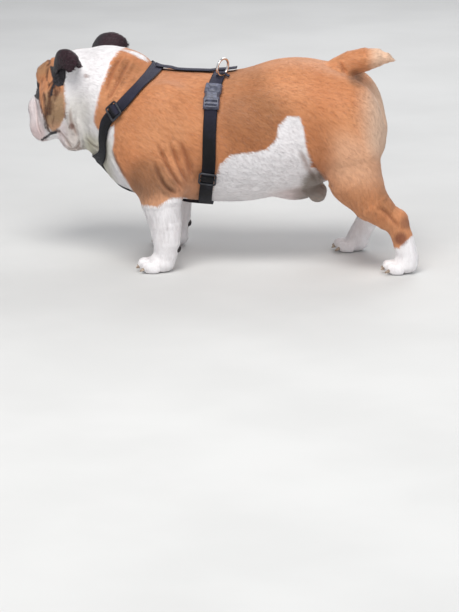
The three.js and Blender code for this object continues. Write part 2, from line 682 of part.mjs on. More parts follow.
// The ear: a cupped sheet that rises from its root to a rim and folds over outward and back.
function earSheet(side, grow, along = 9, across = 5) {
  const rows = [EAR_ROOT, EAR_RIM, EAR_EDGE].map((row) => {
    const [ahead, higher] = row === EAR_ROOT ? [0, 0] : EAR_CARRIED[side];
    return new THREE.CatmullRomCurve3(
      row.map(([f, s, u]) => new THREE.Vector3(f + ahead, side * s, u + higher)));
  });
  const point = (a, b) => {
    const [root, rim, edge] = rows.map((row) => row.getPoint(a));
    const bend = rim.multiplyScalar(2).addScaledVector(root, -0.5).addScaledVector(edge, -0.5);
    const sheet = root.multiplyScalar((1 - b) ** 2).addScaledVector(bend, 2 * b * (1 - b));
    return sheet.addScaledVector(edge, b * b);
  };
  const positions = [];
  for (const face of [-1, 1])
    for (let i = 0; i <= along; i++)
      for (let j = 0; j <= across; j++) {
        const [a, b] = [i / along, j / across];
        const du = point(Math.min(1, a + 0.02), b).sub(point(Math.max(0, a - 0.02), b));
        const dv = point(a, Math.min(1, b + 0.02)).sub(point(a, Math.max(0, b - 0.02)));
        const rimThin = 1 - 0.35 * b;
        const half = (EAR_THICK * rimThin) / 2 + grow;
        const rootward = j === 0 ? -1 : j === across ? 1 : 0;
        const forward = i === 0 ? -1 : i === along ? 1 : 0;
        const p = point(a, b).addScaledVector(dv.clone().normalize(), rootward * grow)
          .addScaledVector(du.clone().normalize(), forward * grow);
        p.addScaledVector(du.cross(dv).normalize(), face * half);
        positions.push(p.x, p.y, p.z);
      }
  const faces = [];
  const back = (along + 1) * (across + 1);
  const at = (i, j, layer) => layer * back + i * (across + 1) + j;
  const quad = (a, b, c, d) => faces.push(a, b, c, a, c, d);
  for (let i = 0; i < along; i++)
    for (let j = 0; j < across; j++) {
      quad(at(i, j, 1), at(i + 1, j, 1), at(i + 1, j + 1, 1), at(i, j + 1, 1));
      faces.push(at(i, j, 0), at(i + 1, j + 1, 0), at(i + 1, j, 0));
      faces.push(at(i, j, 0), at(i, j + 1, 0), at(i + 1, j + 1, 0));
    }
  for (let i = 0; i < along; i++) {
    quad(at(i, 0, 0), at(i + 1, 0, 0), at(i + 1, 0, 1), at(i, 0, 1));
    quad(at(i, across, 1), at(i + 1, across, 1), at(i + 1, across, 0), at(i, across, 0));
  }
  for (let j = 0; j < across; j++) {
    quad(at(0, j, 1), at(0, j + 1, 1), at(0, j + 1, 0), at(0, j, 0));
    quad(at(along, j, 0), at(along, j + 1, 0), at(along, j + 1, 1), at(along, j, 1));
  }
  return toSolid(positions, faces, HEAD_MATRIX);
}

const HEAD_BOX = [[-402, -96, 196], [-180, 152, 432]];
const bareHead = keep(polygonize(flesh, ...HEAD_BOX, STEP.head), HEAD_CUT.at, HEAD_CUT.facing);
const lidBalls = [-1, 1].map((side) => ball(eyeCentre(side), EYE_RADIUS + GAP + LID));
const withLids = join([bareHead, ...lidBalls]);
add("head", cut(withLids,
  ...[-1, 1].map((side) => ball(eyeCentre(side), EYE_RADIUS + GAP)),
  lidOpening(1), lidOpening(-1),
  polygonize(grown(noseShape), ...NOSE_BOX, STEP.nose, HEAD_MATRIX),
  groove(MOUTH_LINE, GROOVE_RADIUS),
  groove(LIP_CLEFT, GROOVE_RADIUS),
  earSheet(1, CLEAR), earSheet(-1, CLEAR)), fawnCoat);
add("eye_left", ball(eyeCentre(1), EYE_RADIUS), eyeball);
add("eye_right", ball(eyeCentre(-1), EYE_RADIUS), eyeball);

const nostrils = [-1, 1].map((side) =>
  bar(NOSTRIL.map(([f, s, u, r]) => [f, side * s, u, r]), 6, HEAD_MATRIX));
add("nose", cut(polygonize(noseShape, ...NOSE_BOX, STEP.nose, HEAD_MATRIX), ...nostrils), leather);

add("neck", cut(partedNeck, earSheet(1, CLEAR), earSheet(-1, CLEAR)), whiteCoat);
add("ear_left", earSheet(1, 0), darkCoat);
add("ear_right", earSheet(-1, 0), darkCoat);

// legs

function carpalPad(side, grow) {
  const [x, y, z, r] = CARPAL_PAD;
  return solidOf(new THREE.SphereGeometry(1, 8, 6),
    new THREE.Matrix4().makeScale(r + grow, r + 1 + grow, r + grow).setPosition(x, side * y, z));
}

for (const [name, side] of [["left", -1], ["right", 1]]) {
  const [near, far] = side < 0 ? [-160, -20] : [20, 160];
  const fore = legRegion(LEG_REGIONS.fore, side, 0.4);
  const hind = legRegion(LEG_REGIONS.hind, side, 0.4);
  const foreBox = [[-214, near, 20], [-40, far, 226]];
  const foreleg = polygonize(flesh, ...foreBox, STEP.foreleg).intersect(fore);
  add(`foreleg_${name}`, cut(keep(foreleg, [0, 0, PAW_HEIGHT], UP), carpalPad(side, SEAT)), whiteCoat);
  add(`carpal_pad_${name}`, carpalPad(side, 0), leather);
  const knee = KNEE_CUTS[name];
  const thigh = polygonize(flesh, [150, near, 110], [330, far, 300], STEP.thigh).intersect(hind);
  add(`thigh_${name}`, keep(thigh, knee.at, opposite(knee.facing)), fawnCoat);
  const lower = polygonize(flesh, [180, near, 18], [390, far, 210], STEP.hindleg).intersect(hind);
  add(`hindleg_${name}`, keep(keep(lower, knee.at, knee.facing), [0, 0, PAW_HEIGHT], UP), whiteCoat);
}

// A claw starts inside its toe, leans forward and down, and sits in a seat cut from the paw.
function claw([px, py], size, toe, grow) {
  const x = px - (toe.ahead + 5) * size;
  const y = py + Math.sign(py) * toe.aside * size;
  const z = (toe.high - 2) * size;
  const spread = Math.sign(py) * toe.aside * 0.02;
  const stations = [0, 0.5, 1].map((t) => {
    const root = t ? 0 : grow;
    const radius = mix(CLAW_RADIUS, 1.3, t) + grow;
    return [x - CLAW_LENGTH * t + root, y + CLAW_LENGTH * spread * t, z - 4 * t * t, radius];
  });
  return bar(stations, 5);
}

for (const [name, place] of Object.entries(PAW_PLACES)) {
  const [px, py] = place.at;
  const box = [[px - 50, py - 46, -9], [px + 46, py + 46, 52]];
  const seats = TOES.map((toe) => claw(place.at, place.size, toe, SEAT));
  const paw = keep(polygonize(unfloored, ...box, STEP.paw), [0, 0, PAW_HEIGHT], DOWN);
  add(name, cut(keep(paw, [0, 0, -GAP / 2], UP), ...seats), whiteCoat);
  for (const toe of TOES) add(`${name}_claw_${toe.name}`, claw(place.at, place.size, toe, 0), horn);
}

// harness

const coatClear = [torsoClear, neckClear];
const clip = (solid) => cut(solid, ...coatClear);
for (const [name, side] of [["left", -1], ["right", 1]]) {
  add(`neck_strap_${name}`, clip(ribbon(loopPath(side, NECK_LOOP, 0.6, 166, 18), {})), webbing);
  add(`girth_strap_${name}`, clip(ribbon(loopPath(side, GIRTH_LOOP, 0.6, 179.2, 22), {})), webbing);
}

// Webbing along the midline that lies over the loops at both ends.
function midlinePath(waypoints, count, rounds) {
  const curve = new THREE.CatmullRomCurve3(waypoints.map(vec));
  const path = Array.from({ length: count }, (_, i) =>
    settle(flesh, curve.getPoint(i / (count - 1)).toArray(), STRAP_GAP));
  const length = curve.getLength();
  return taut(path, rounds).map((p, i) => {
    const fromEnd = Math.min(i, count - 1 - i) * (length / (count - 1));
    return pushedOut(p, mix(STRAP_OVER, STRAP_GAP, THREE.MathUtils.smoothstep(fromEnd, 30, 50)));
  });
}

const BACK_LINE = midlinePath([[-132, 0, 366], [-60, 0, 366], [22, 0, 368]], 12, 4);
const CHEST_LINE = midlinePath([[-232, 0, 206], [-212, 0, 172], [-182, 0, 142], [-140, 0, 124],
  [-90, 0, 116], [-22, 0, 112]], 16, 160);
add("back_strap", clip(ribbon(BACK_LINE, { slack: true, lift: () => STRAP_OVER })), webbing);
add("chest_strap", clip(ribbon(CHEST_LINE, {})), webbing);

// A box set on the webbing: across it, along it and up from it.
function seatMatrix(side, xAt, angle, lift) {
  const path = taut(loopPath(side, xAt, 0, 180, 61));
  const at = Math.round(angle / 3);
  const [before, here, after] = [path[at - 1], path[at], path[at + 1]];
  const up = slope(flesh, here);
  const along = after.clone().sub(before).normalize();
  const across = along.clone().cross(up).normalize();
  const place = here.clone().addScaledVector(up, lift);
  return new THREE.Matrix4().makeBasis(across, up.clone().cross(across), up).setPosition(place);
}

const block = (size, [a, b, c], seat) => solidOf(new THREE.BoxGeometry(...size),
  new THREE.Matrix4().makeTranslation(a, b, c).premultiply(seat));

function slider(side, xAt, angle) {
  const seat = seatMatrix(side, xAt, angle, 6);
  const windows = [-1, 1].map((end) => block([27, 7.5, 10], [0, end * 6, 0], seat));
  return cut(block([34, 27, 3.4], [0, 0, 0], seat), ...windows);
}

add("neck_slider_left", slider(-1, NECK_LOOP, 62), plastic);
add("neck_slider_right", slider(1, NECK_LOOP, 62), plastic);
add("girth_slider_left", slider(-1, GIRTH_LOOP, 122), plastic);

// The side-release buckle: a curved body with a notch on each side and a shallow panel.
const BUCKLE_ANGLES = [34, 61];
const buckleBody = ribbon(loopPath(-1, GIRTH_LOOP, ...BUCKLE_ANGLES, 6),
  { width: 33, thick: 8, lift: () => STRAP_OVER });
const buckleSeat = seatMatrix(-1, GIRTH_LOOP, 48, STRAP_OVER + 2);
add("buckle_left", cut(buckleBody, ...[-1, 1].map((end) => block([6, 14, 20], [end * 17, 4, 0], buckleSeat)),
  block([18, 14, 3], [0, -13, 5], buckleSeat)), plastic);

// The lead ring stands on the girth strap beside the spine, held by a short arched keeper.
const RING_ANGLE = 18;
const RING_TURN = 27;
const RING_BEHIND = 9; // behind the middle of the webbing
const ringSeat = seatMatrix(-1, GIRTH_LOOP, RING_ANGLE, STRAP_THICK + 0.5)
  .multiply(new THREE.Matrix4().makeTranslation(-RING_BEHIND, 0, 0));
const ringMatrix = ringSeat.clone()
  .multiply(new THREE.Matrix4().makeTranslation(0, 0, RING_RADIUS + RING_WIRE))
  .multiply(new THREE.Matrix4().makeRotationZ(rad(90 - RING_TURN)))
  .multiply(new THREE.Matrix4().makeRotationX(rad(90)));
add("lead_ring", solidOf(new THREE.TorusGeometry(RING_RADIUS, RING_WIRE, 6, 18), ringMatrix), steel);

const keeperRings = Array.from({ length: 9 }, (_, i) => {
  const across = mix(-12, 12, i / 8);
  const bump = (2 * RING_WIRE + 1.4) * Math.exp(-((across / 6.5) ** 4));
  return [[-4, 0], [4, 0], [4, 1.4], [-4, 1.4]].map(([y, z]) =>
    new THREE.Vector3(across, y, z + bump).applyMatrix4(ringSeat));
});
add("ring_keeper", loft(keeperRings), webbing);

// The origin is the middle of the footprint of the whole, on the floor.
const bounds = new THREE.Box3().setFromObject(bulldog, true);
const middle = bounds.getCenter(new THREE.Vector3());
for (const mesh of bulldog.children) mesh.geometry.translate(-middle.x, -middle.y, 0);
bulldog.userData.originWas = [middle.x, middle.y, 0];

export default bulldog;
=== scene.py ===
# The looks of the standing english bulldog: one skin with its folds, lids and ears, a short coat of tufts,
# eyes, nose, claws and pads, and the webbing harness with its buckle, sliders and lead ring.
# The shape is worked out in millimetres in the solids' own field of forms, and written in metres.
import math
import bpy
import numpy as np
from mathutils import Matrix, Vector
from mathutils.kdtree import KDTree


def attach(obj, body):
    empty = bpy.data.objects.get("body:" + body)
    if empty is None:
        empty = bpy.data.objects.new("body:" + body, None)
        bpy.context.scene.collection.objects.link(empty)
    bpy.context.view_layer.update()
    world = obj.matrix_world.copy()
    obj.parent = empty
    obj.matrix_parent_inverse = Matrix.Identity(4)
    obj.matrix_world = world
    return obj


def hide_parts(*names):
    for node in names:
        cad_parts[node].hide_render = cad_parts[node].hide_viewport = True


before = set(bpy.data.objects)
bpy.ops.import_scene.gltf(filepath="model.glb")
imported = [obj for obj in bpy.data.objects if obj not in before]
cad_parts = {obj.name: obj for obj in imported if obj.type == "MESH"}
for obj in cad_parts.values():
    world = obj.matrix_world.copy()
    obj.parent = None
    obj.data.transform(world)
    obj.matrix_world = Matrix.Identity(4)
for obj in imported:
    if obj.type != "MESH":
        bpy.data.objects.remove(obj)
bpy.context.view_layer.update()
rng = np.random.default_rng(11)

SHIFT = 3.827  # the solids' origin is the middle of their footprint
HEAD_AT = np.array([-279.0, 30.0, 337.0])
HEAD_TURN = math.radians(24)
EYE_AT = (54.0, 44.0, -12.0)
EYE_RADIUS = 12.5
LID = 2.6
GAZE = (0.86, 0.5, 0.04)
NOSE_AT = (72.0, 0.0, -27.0)
COAT_DEPTH = 1.6  # how far the skin lies inside the solids
UNIT = 1.9  # mm in one unit of the side drawing that the markings are given in

PHOTO = (459, 612)  # width and height in pixels
FOCAL = 3158.0  # focal length in pixels
AIM_PIXEL = (225, 155.8)  # where the camera's aim stands in the picture
CAMERA_TURN, CAMERA_RISE = math.radians(4.5), math.radians(11.5)
CAMERA_DISTANCE, AIM_HEIGHT = 6.0, 0.2  # in metres
SENSOR = 36  # mm, along the picture's longer side


# camera and light

def add_camera():
    aim = Vector((SHIFT / 1000, 0, AIM_HEIGHT))
    level = math.cos(CAMERA_RISE)
    back = Vector((math.sin(CAMERA_TURN) * level, -math.cos(CAMERA_TURN) * level, math.sin(CAMERA_RISE)))
    forward = -back
    right = forward.cross(Vector((0, 0, 1))).normalized()
    up = right.cross(forward)
    pitch = math.atan((PHOTO[1] / 2 - AIM_PIXEL[1]) / FOCAL)
    yaw = math.atan((AIM_PIXEL[0] - PHOTO[0] / 2) / FOCAL)
    ahead = forward * math.cos(pitch) - up * math.sin(pitch)
    over = forward * math.sin(pitch) + up * math.cos(pitch)
    ahead = ahead * math.cos(yaw) - right * math.sin(yaw)
    across = ahead.cross(over)
    camera = bpy.data.objects.new("camera", bpy.data.cameras.new("camera"))
    camera.matrix_world = Matrix((
        (across.x, over.x, -ahead.x, aim.x + back.x * CAMERA_DISTANCE),
        (across.y, over.y, -ahead.y, aim.y + back.y * CAMERA_DISTANCE),
        (across.z, over.z, -ahead.z, aim.z + back.z * CAMERA_DISTANCE),
        (0, 0, 0, 1)))
    camera.data.lens = FOCAL * SENSOR / PHOTO[1]
    camera.data.sensor_width = SENSOR
    camera.data.clip_end = 50
    bpy.context.scene.collection.objects.link(camera)
    bpy.context.scene.camera = camera


def add_light(name, place, aim, size, power, colour):
    lamp = bpy.data.lights.new(name, "AREA")
    lamp.shape = "DISK"
    lamp.size = size
    lamp.energy = power
    lamp.color = colour
    thing = bpy.data.objects.new(name, lamp)
    thing.location = place
    thing.rotation_euler = (Vector(aim) - Vector(place)).to_track_quat("-Z", "Y").to_euler()
    bpy.context.scene.collection.objects.link(thing)


add_camera()
add_light("key", (-0.3, -1.9, 3.3), (0, 0, 0.2), 2.0, 100, (1.0, 0.985, 0.96))
add_light("fill", (2.6, -2.4, 1.6), (0, 0, 0.2), 2.4, 22, (0.94, 0.97, 1.0))
add_light("rim", (0.6, 2.8, 2.4), (0, 0, 0.25), 2.0, 40, (1.0, 1.0, 1.0))
world = bpy.data.worlds.new("studio")
world.use_nodes = True
sky = world.node_tree.nodes["Background"].inputs
sky["Color"].default_value = (0.93, 0.95, 1.0, 1)
sky["Strength"].default_value = 0.5
bpy.context.scene.world = world
bpy.context.scene.view_settings.view_transform = "Standard"


# node materials

class Paint:
    """A principled material with a few short ways to build its nodes."""

    def __init__(self, name, **values):
        self.material = bpy.data.materials.new(name)
        self.material.use_nodes = True
        self.tree = self.material.node_tree
        self.shader = self.tree.nodes["Principled BSDF"]
        for key, value in values.items():
            self.put(key.replace("_", " "), value)

    def put(self, socket, value):
        names = {s.name.lower(): s for s in self.shader.inputs}
        self.plug(names[socket.lower()], value)

    def plug(self, socket, value):
        if isinstance(value, bpy.types.NodeSocket):
            self.tree.links.new(value, socket)
        elif isinstance(value, tuple) and len(value) == 3 and socket.type == "RGBA":
            socket.default_value = (*value, 1)
        else:
            socket.default_value = value

    def node(self, kind, inputs=None, **settings):
        node = self.tree.nodes.new("ShaderNode" + kind)
        for key, value in settings.items():
            setattr(node, key, value)
        for key, value in (inputs or {}).items():
            self.plug(node.inputs[key], value)
        return node

    def attribute(self, name, vector=False):
        node = self.node("Attribute", attribute_name=name)
        return node.outputs["Vector"] if vector else node.outputs["Fac"]

    def place(self):
        return self.node("TexCoord").outputs["Object"]

    def noise(self, scale, detail=3.0, where=None, rough=0.5):
        inputs = {"Scale": scale, "Detail": detail, "Roughness": rough, "Vector": where or self.place()}
        return self.node("TexNoise", inputs).outputs["Fac"]

    def math(self, operation, a, b=0.0):
        return self.node("Math", {0: a, 1: b}, operation=operation).outputs[0]

    def plus(self, a, b):
        return self.math("ADD", a, b)

    def times(self, a, b):
        return self.math("MULTIPLY", a, b)

    def step(self, value, low, high, to_low=0.0, to_high=1.0):
        inputs = {"Value": value, "From Min": low, "From Max": high, "To Min": to_low, "To Max": to_high}
        return self.node("MapRange", inputs, interpolation_type="SMOOTHSTEP").outputs["Result"]

    def mix(self, factor, a, b, blend="MIX"):
        """Sockets 6 and 7 of a mix node take its two colours, and output 2 gives the colour."""
        inputs = {"Factor": factor, 6: a, 7: b}
        return self.node("Mix", inputs, data_type="RGBA", blend_type=blend).outputs[2]

    def mottled(self, scale, one, other, low=0.3, high=0.7, detail=3.0):
        """A colour that wanders between two others."""
        return self.mix(self.step(self.noise(scale, detail), low, high), one, other)

    def bump(self, height, strength, distance, below=None):
        inputs = {"Height": height, "Strength": strength, "Distance": distance}
        if below is not None:
            inputs["Normal"] = below
        return self.node("Bump", inputs).outputs["Normal"]


def rgb(r, g, b):
    """A screen colour, 0 to 255, as scene values."""
    return tuple(((v / 255 + 0.055) / 1.055) ** 2.4 if v > 10 else v / 3294.6 for v in (r, g, b))


# the field of forms, as in the solids

def unit(vectors):
    """Each vector at length 1."""
    return vectors / np.maximum(np.linalg.norm(vectors, axis=-1, keepdims=True), 1e-9)


def smooth_min(a, b, k):
    """Two forms melted together over a reach of k."""
    h = np.maximum(k - np.abs(a - b), 0) / k
    return np.minimum(a, b) - h * h * k * 0.25


def carved(d, tool, k):
    """A form with another taken out of it, the edge rounded over a reach of k."""
    return -smooth_min(-d, tool, k)


def ellipsoid(x, y, z, centre, radii, tilt=0):
    c, s = math.cos(math.radians(tilt)), math.sin(math.radians(tilt))
    dx, dz = x - centre[0], z - centre[2]
    px = (c * dx + s * dz) / radii[0]
    py = (y - centre[1]) / radii[1]
    pz = (c * dz - s * dx) / radii[2]
    k0 = np.sqrt(px * px + py * py + pz * pz)
    k1 = np.sqrt((px / radii[0]) ** 2 + (py / radii[1]) ** 2 + (pz / radii[2]) ** 2) + 1e-9
    return k0 * (k0 - 1) / k1


def limb(x, y, z, stations):
    best = None
    for (ax, ay, az, ar), (bx, by, bz, br) in zip(stations, stations[1:]):
        ux, uy, uz = bx - ax, by - ay, bz - az
        t = np.clip(((x - ax) * ux + (y - ay) * uy + (z - az) * uz) / (ux * ux + uy * uy + uz * uz), 0, 1)
        d = np.sqrt((x - ax - t * ux) ** 2 + (y - ay - t * uy) ** 2 + (z - az - t * uz) ** 2)
        d = d - (ar + (br - ar) * t)
        best = d if best is None else np.minimum(best, d)
    return best


def profile(pairs):
    """A smooth curve through (station, value) pairs."""
    p = np.array(pairs, np.float32)
    before, after = np.vstack([p[:1], p[:-2]]), np.vstack([p[2:], p[-1:]])

    def curve(x):
        i = np.clip(np.searchsorted(p[:, 0], x, side="left") - 1, 0, len(p) - 2)
        p0, p1, p2, p3 = before[i], p[i], p[i + 1], after[i]
        span = p2[..., 0] - p1[..., 0]
        t = np.clip((x - p1[..., 0]) / span, 0, 1)
        m1 = (p2[..., 1] - p0[..., 1]) / np.where(p2[..., 0] == p0[..., 0], 1, p2[..., 0] - p0[..., 0]) * span
        m2 = (p3[..., 1] - p1[..., 1]) / np.where(p3[..., 0] == p1[..., 0], 1, p3[..., 0] - p1[..., 0]) * span
        t2, t3 = t * t, t * t * t
        first = (2 * t3 - 3 * t2 + 1) * p1[..., 1] + (t3 - 2 * t2 + t) * m1
        return first + (3 * t2 - 2 * t3) * p2[..., 1] + (t3 - t2) * m2

    return curve


BACK = profile([(-232, 262), (-205, 318), (-170, 348), (-125, 363), (-60, 363), (0, 363), (50, 371),
                (100, 382), (150, 386), (195, 380), (235, 360), (262, 330), (284, 292), (296, 258)])
BELLY = profile([(-232, 212), (-205, 160), (-170, 134), (-125, 122), (-60, 116), (0, 113), (50, 116),
                 (100, 126), (150, 138), (195, 158), (235, 190), (262, 216), (284, 236), (296, 250)])
BREADTH = profile([(-232, 30), (-205, 82), (-170, 104), (-125, 115), (-60, 119), (0, 120), (50, 119),
                   (100, 115), (150, 109), (195, 103), (235, 94), (262, 78), (284, 48), (296, 14)])


def trunk(x, y, z):
    at = np.clip(x, -232, 296)
    top, bottom, breadth = BACK(at), BELLY(at), BREADTH(at)
    height = np.maximum(4, (top - bottom) / 2)
    dz = z - (top + bottom) / 2
    across = np.sqrt((y / breadth) ** 2 + (dz / height) ** 2)
    r = np.sqrt(y * y + dz * dz)
    side = np.where(across < 1e-6, -np.minimum(height, breadth), r - r / np.maximum(across, 1e-6))
    beyond = np.abs(x - at)
    return np.where(side > 0, np.hypot(side, beyond), np.maximum(side, np.where(beyond > 0, beyond, side)))


# centre, radii, tilt, blend
BODY_FORMS = [
    ((-122, 82, 268), (58, 42, 84), -18, 38),
    ((-146, 90, 204), (56, 42, 60), 20, 34),
    ((-100, 98, 176), (40, 34, 42), 0, 24),
    ((-180, 0, 208), (44, 82, 64), 0, 30),
    ((-190, 44, 214), (32, 40, 52), 0, 26),
    ((130, 40, 322), (90, 66, 56), 0, 30),
    ((220, 64, 286), (74, 52, 80), 0, 36),
    ((270, 42, 262), (34, 34, 54), 20, 24),
    ((128, 0, 133), (40, 16, 17), -3, 14),
]
SCROTUM_FORMS = [((170, 0, 153), (18, 15, 18), 0, 8), ((176, 11.5, 133), (19, 14.5, 19), -10, 7)]
NECK_FORMS = [
    ((-178, 4, 272), (74, 102, 92), 0, 44),
    ((-228, 20, 312), (66, 86, 90), 0, 40),
    ((-209, 15, 358), (70, 57, 43), 4, 20),
    ((-226, 20, 250), (58, 64, 48), 0, 34),
]
HEAD_FORMS = [
    ((-16, 0, 2), (76, 76, 54), 0, 30),
    ((-8, 54, 32), (28, 24, 20), 0, 20),
    ((14, 25, 27), (37, 34, 27), -10, 14),
    ((48, 33, 9), (26, 27, 28), 0, 16),
    ((12, 60, -42), (42, 34, 52), 0, 24),
    ((42, 54, -28), (22, 20, 16), 0, 14),
    ((54, 0, -54), (38, 46, 42), 0, 16),
    ((69, 29, -56), (26, 29, 30), 0, 8),
    ((56, 46, -84), (29, 16, 34), 8, 9),
    ((10, 34, -82), (52, 38, 29), 0, 20),
    ((62, 0, -97), (40, 36, 17), 8, 8),
    ((91, 0, -92), (11, 26, 11), 0, 8),
    ((-9, 44, -99), (27, 22, 30), 0, 10),
]
NOSE_FORMS = [(NOSE_AT, (14, 22, 16), 0, 4), ((75, 14, -30), (12, 11, 12), 0, 4)]
NOSE_ROLL = [(70, 0, -4, 9), (66, 26, -12, 9), (60, 47, -34, 8), (50, 60, -58, 6)]
FURROW = [(10, 0, 70, 7), (56, 0, 52, 8), (76, 0, 14, 8)]
FORELEG = [(-118, 102, 176, 40), (-112, 107, 134, 39), (-104, 110, 92, 32), (-101, 111, 56, 27),
           (-103, 111, 36, 24), (-110, 111, 20, 20)]
HIND_LEGS = [
    (-1, [(228, 72, 288, 60), (242, 84, 226, 57), (252, 90, 176, 48)],
     [(252, 90, 176, 48), (280, 90, 134, 37), (310, 89, 108, 27), (325, 88, 100, 23)],
     [(329, 88, 98, 21), (342, 88, 62, 21.5), (350, 88, 30, 22)]),
    (1, [(222, 72, 286, 60), (226, 84, 226, 57), (222, 90, 180, 49)],
     [(222, 90, 180, 49), (244, 90, 138, 37), (270, 89, 108, 27), (284, 88, 100, 23)],
     [(286, 88, 98, 22), (268, 88, 60, 22), (252, 88, 30, 22)]),
]
PAWS = {"forepaw_left": (-118, -111, 1), "forepaw_right": (-111, 111, 1),
        "hindpaw_left": (339, -88, 0.94), "hindpaw_right": (239, 88, 0.94)}
TOES = {"outer": (11, 24, 12), "mid_outer": (20, 9, 14), "mid_inner": (20, -8, 14), "inner": (12, -23, 12)}
TAIL = [(214, 0, 366, 27), (236, 0, 380, 25), (262, 0, 388, 23.5), (284, 0, 392, 19), (302, 0, 392, 12),
        (315, 0, 388, 5)]
EAR_ROOT = [(9, 62, 26), (4, 60, 42), (-6, 56, 50), (-18, 54, 50), (-28, 56, 44), (-34, 60, 38)]
EAR_RIM = [(11, 74, 32), (7, 77, 51), (-5, 84, 67), (-27, 90, 71), (-46, 94, 63), (-52, 95, 50)]
EAR_EDGE = [(4, 80, 23), (-3, 86, 32), (-15, 92, 38), (-27, 97, 37), (-36, 99, 33), (-44, 98, 38)]
EAR_CARRIED = {1: (0, 0), -1: (6, 7)}  # how much further forward and higher each rim is held

COS, SIN = math.cos(HEAD_TURN), math.sin(HEAD_TURN)
HEAD_AXES = np.array([[-COS, SIN, 0], [-SIN, -COS, 0], [0, 0, 1]])


def to_head(x, y, z):
    dx, dy = x - HEAD_AT[0], y - HEAD_AT[1]
    return -COS * dx + SIN * dy, -SIN * dx - COS * dy, z - HEAD_AT[2]


def from_head(points):
    return np.asarray(points, float) @ HEAD_AXES + HEAD_AT


def melt(forms, x, y, z, d=None):
    for centre, radii, tilt, blend in forms:
        form = ellipsoid(x, y, z, centre, radii, tilt)
        d = form if d is None else smooth_min(d, form, blend)
    return d


def head_shape(f, s, u):
    s = np.abs(s)
    d = melt(HEAD_FORMS, f, s, u)
    d = smooth_min(d, limb(f, s, u, NOSE_ROLL), 6)
    return carved(d, limb(f, s, u, FURROW), 12)


def paw_field(x, y, z, place, toe_blend):
    px, py, size = place
    out = math.copysign(1, py)
    d = ellipsoid(x, y, z, (px + 4, py, 14 * size), (28 * size, 27 * size, 17 * size))
    for ahead, aside, high in TOES.values():
        centre = (px - ahead * size, py + out * aside * size, (high - 2) * size)
        radii = (19 * size, 9.5 * size, 12.5 * size)
        d = smooth_min(d, ellipsoid(x, y, z, centre, radii, -18), toe_blend)
    return d


def flesh(x, y, z, toe_blend=5):
    """The solids' own field: below zero inside the animal."""
    s = np.abs(y)
    d = melt(BODY_FORMS, x, s, z, trunk(x, y, z))
    d = melt(NECK_FORMS, x, y, z, d)
    d = smooth_min(d, head_shape(*to_head(x, y, z)), 22)
    d = smooth_min(d, limb(x, s, z, FORELEG), 22)
    for side, thigh, shank, pastern in HIND_LEGS:
        leg = limb(x, side * y, z, thigh)
        leg = smooth_min(leg, limb(x, side * y, z, shank), 14)
        leg = smooth_min(leg, limb(x, side * y, z, pastern), 14)
        d = smooth_min(d, leg, 26)
    for place in PAWS.values():
        d = smooth_min(d, paw_field(x, y, z, place, toe_blend), 12)
    d = smooth_min(d, limb(x, y, z, TAIL), 10)
    return np.maximum(d, -z)


def slope(field, p, e=0.5):
    """The way in which a field rises fastest at each point."""
    steps = np.eye(3) * e
    return unit(np.stack([field(*(p + s).T) - field(*(p - s).T) for s in steps], axis=1))


def settle(field, points, value=0.0, rounds=5):
    """The points moved to where a field has a value."""
    p = np.array(points, float).reshape(-1, 3)
    for _ in range(rounds):
        p -= (field(*p.T) - value)[:, None] * slope(field, p)
    return p


def catmull(points, count):
    """A smooth curve through points, as count evenly spread samples of its stations."""
    p = np.array(points, float)
    q = np.vstack([2 * p[0] - p[1], p, 2 * p[-1] - p[-2]])
    t = np.linspace(0, len(p) - 1, count)
    i = np.minimum(t.astype(int), len(p) - 2)
    w = (t - i)[:, None]
    a, b, c, d = q[i], q[i + 1], q[i + 2], q[i + 3]
    return 0.5 * (2 * b + (c - a) * w + (2 * a - 5 * b + 4 * c - d) * w ** 2
                  + (3 * b - a - 3 * c + d) * w ** 3)


# the skin's own detail: ears as thin folded sheets, lids, mouth, nose seat

def ear_sheet(side):
    """Points of the ear's middle surface, and how far each is from root to edge."""
    along, across = 60, 44
    rows = []
    for row in (EAR_ROOT, EAR_RIM, EAR_EDGE):
        ahead, lift = (0, 0) if row is EAR_ROOT else EAR_CARRIED[side]
        rows.append(catmull([(f + ahead, side * s, u + lift) for f, s, u in row], along))
    root, rim, edge = rows
    bend = 2 * rim - 0.5 * root - 0.5 * edge
    b = np.linspace(0, 1, across)[None, :, None]
    sheet = root[:, None] * (1 - b) ** 2 + bend[:, None] * 2 * b * (1 - b) + edge[:, None] * b ** 2
    return sheet.reshape(-1, 3), np.repeat(np.linspace(0, 1, across)[None], along, 0).ravel()


def ear_tree(side):
    sheet, spread = ear_sheet(side)
    tree = KDTree(len(sheet))
    for i, p in enumerate(from_head(sheet)):
        tree.insert(p, i)
    tree.balance()
    return tree, spread, from_head(sheet)


EARS = {side: ear_tree(side) for side in (1, -1)}


def ear_distance(p, side):
    tree, spread, sheet = EARS[side]
    low, high = sheet.min(0) - 9, sheet.max(0) + 9
    near = np.all((p > low) & (p < high), axis=1)
    d = np.full(len(p), 40.0)
    found = [tree.find(q) for q in p[near]]
    index = np.array([i for _, i, _ in found], int)
    reach = np.array([r for _, _, r in found])
    if len(index):
        d[near] = reach - (2.0 - 0.7 * spread[index])
    return d


def tube_distance(p, line, radius):
    return limb(*p.T, [(*q, radius) for q in line])


def eye_centre(side):
    return from_head([(EYE_AT[0], side * EYE_AT[1], EYE_AT[2])])[0]


def eye_axes(side):
    """The way the eye looks, the level way across it, and up."""
    look = unit(np.array([GAZE[0], side * GAZE[1], GAZE[2]]) @ HEAD_AXES)
    level = unit(np.cross((0, 0, 1), look))
    return look, level, np.cross(look, level)


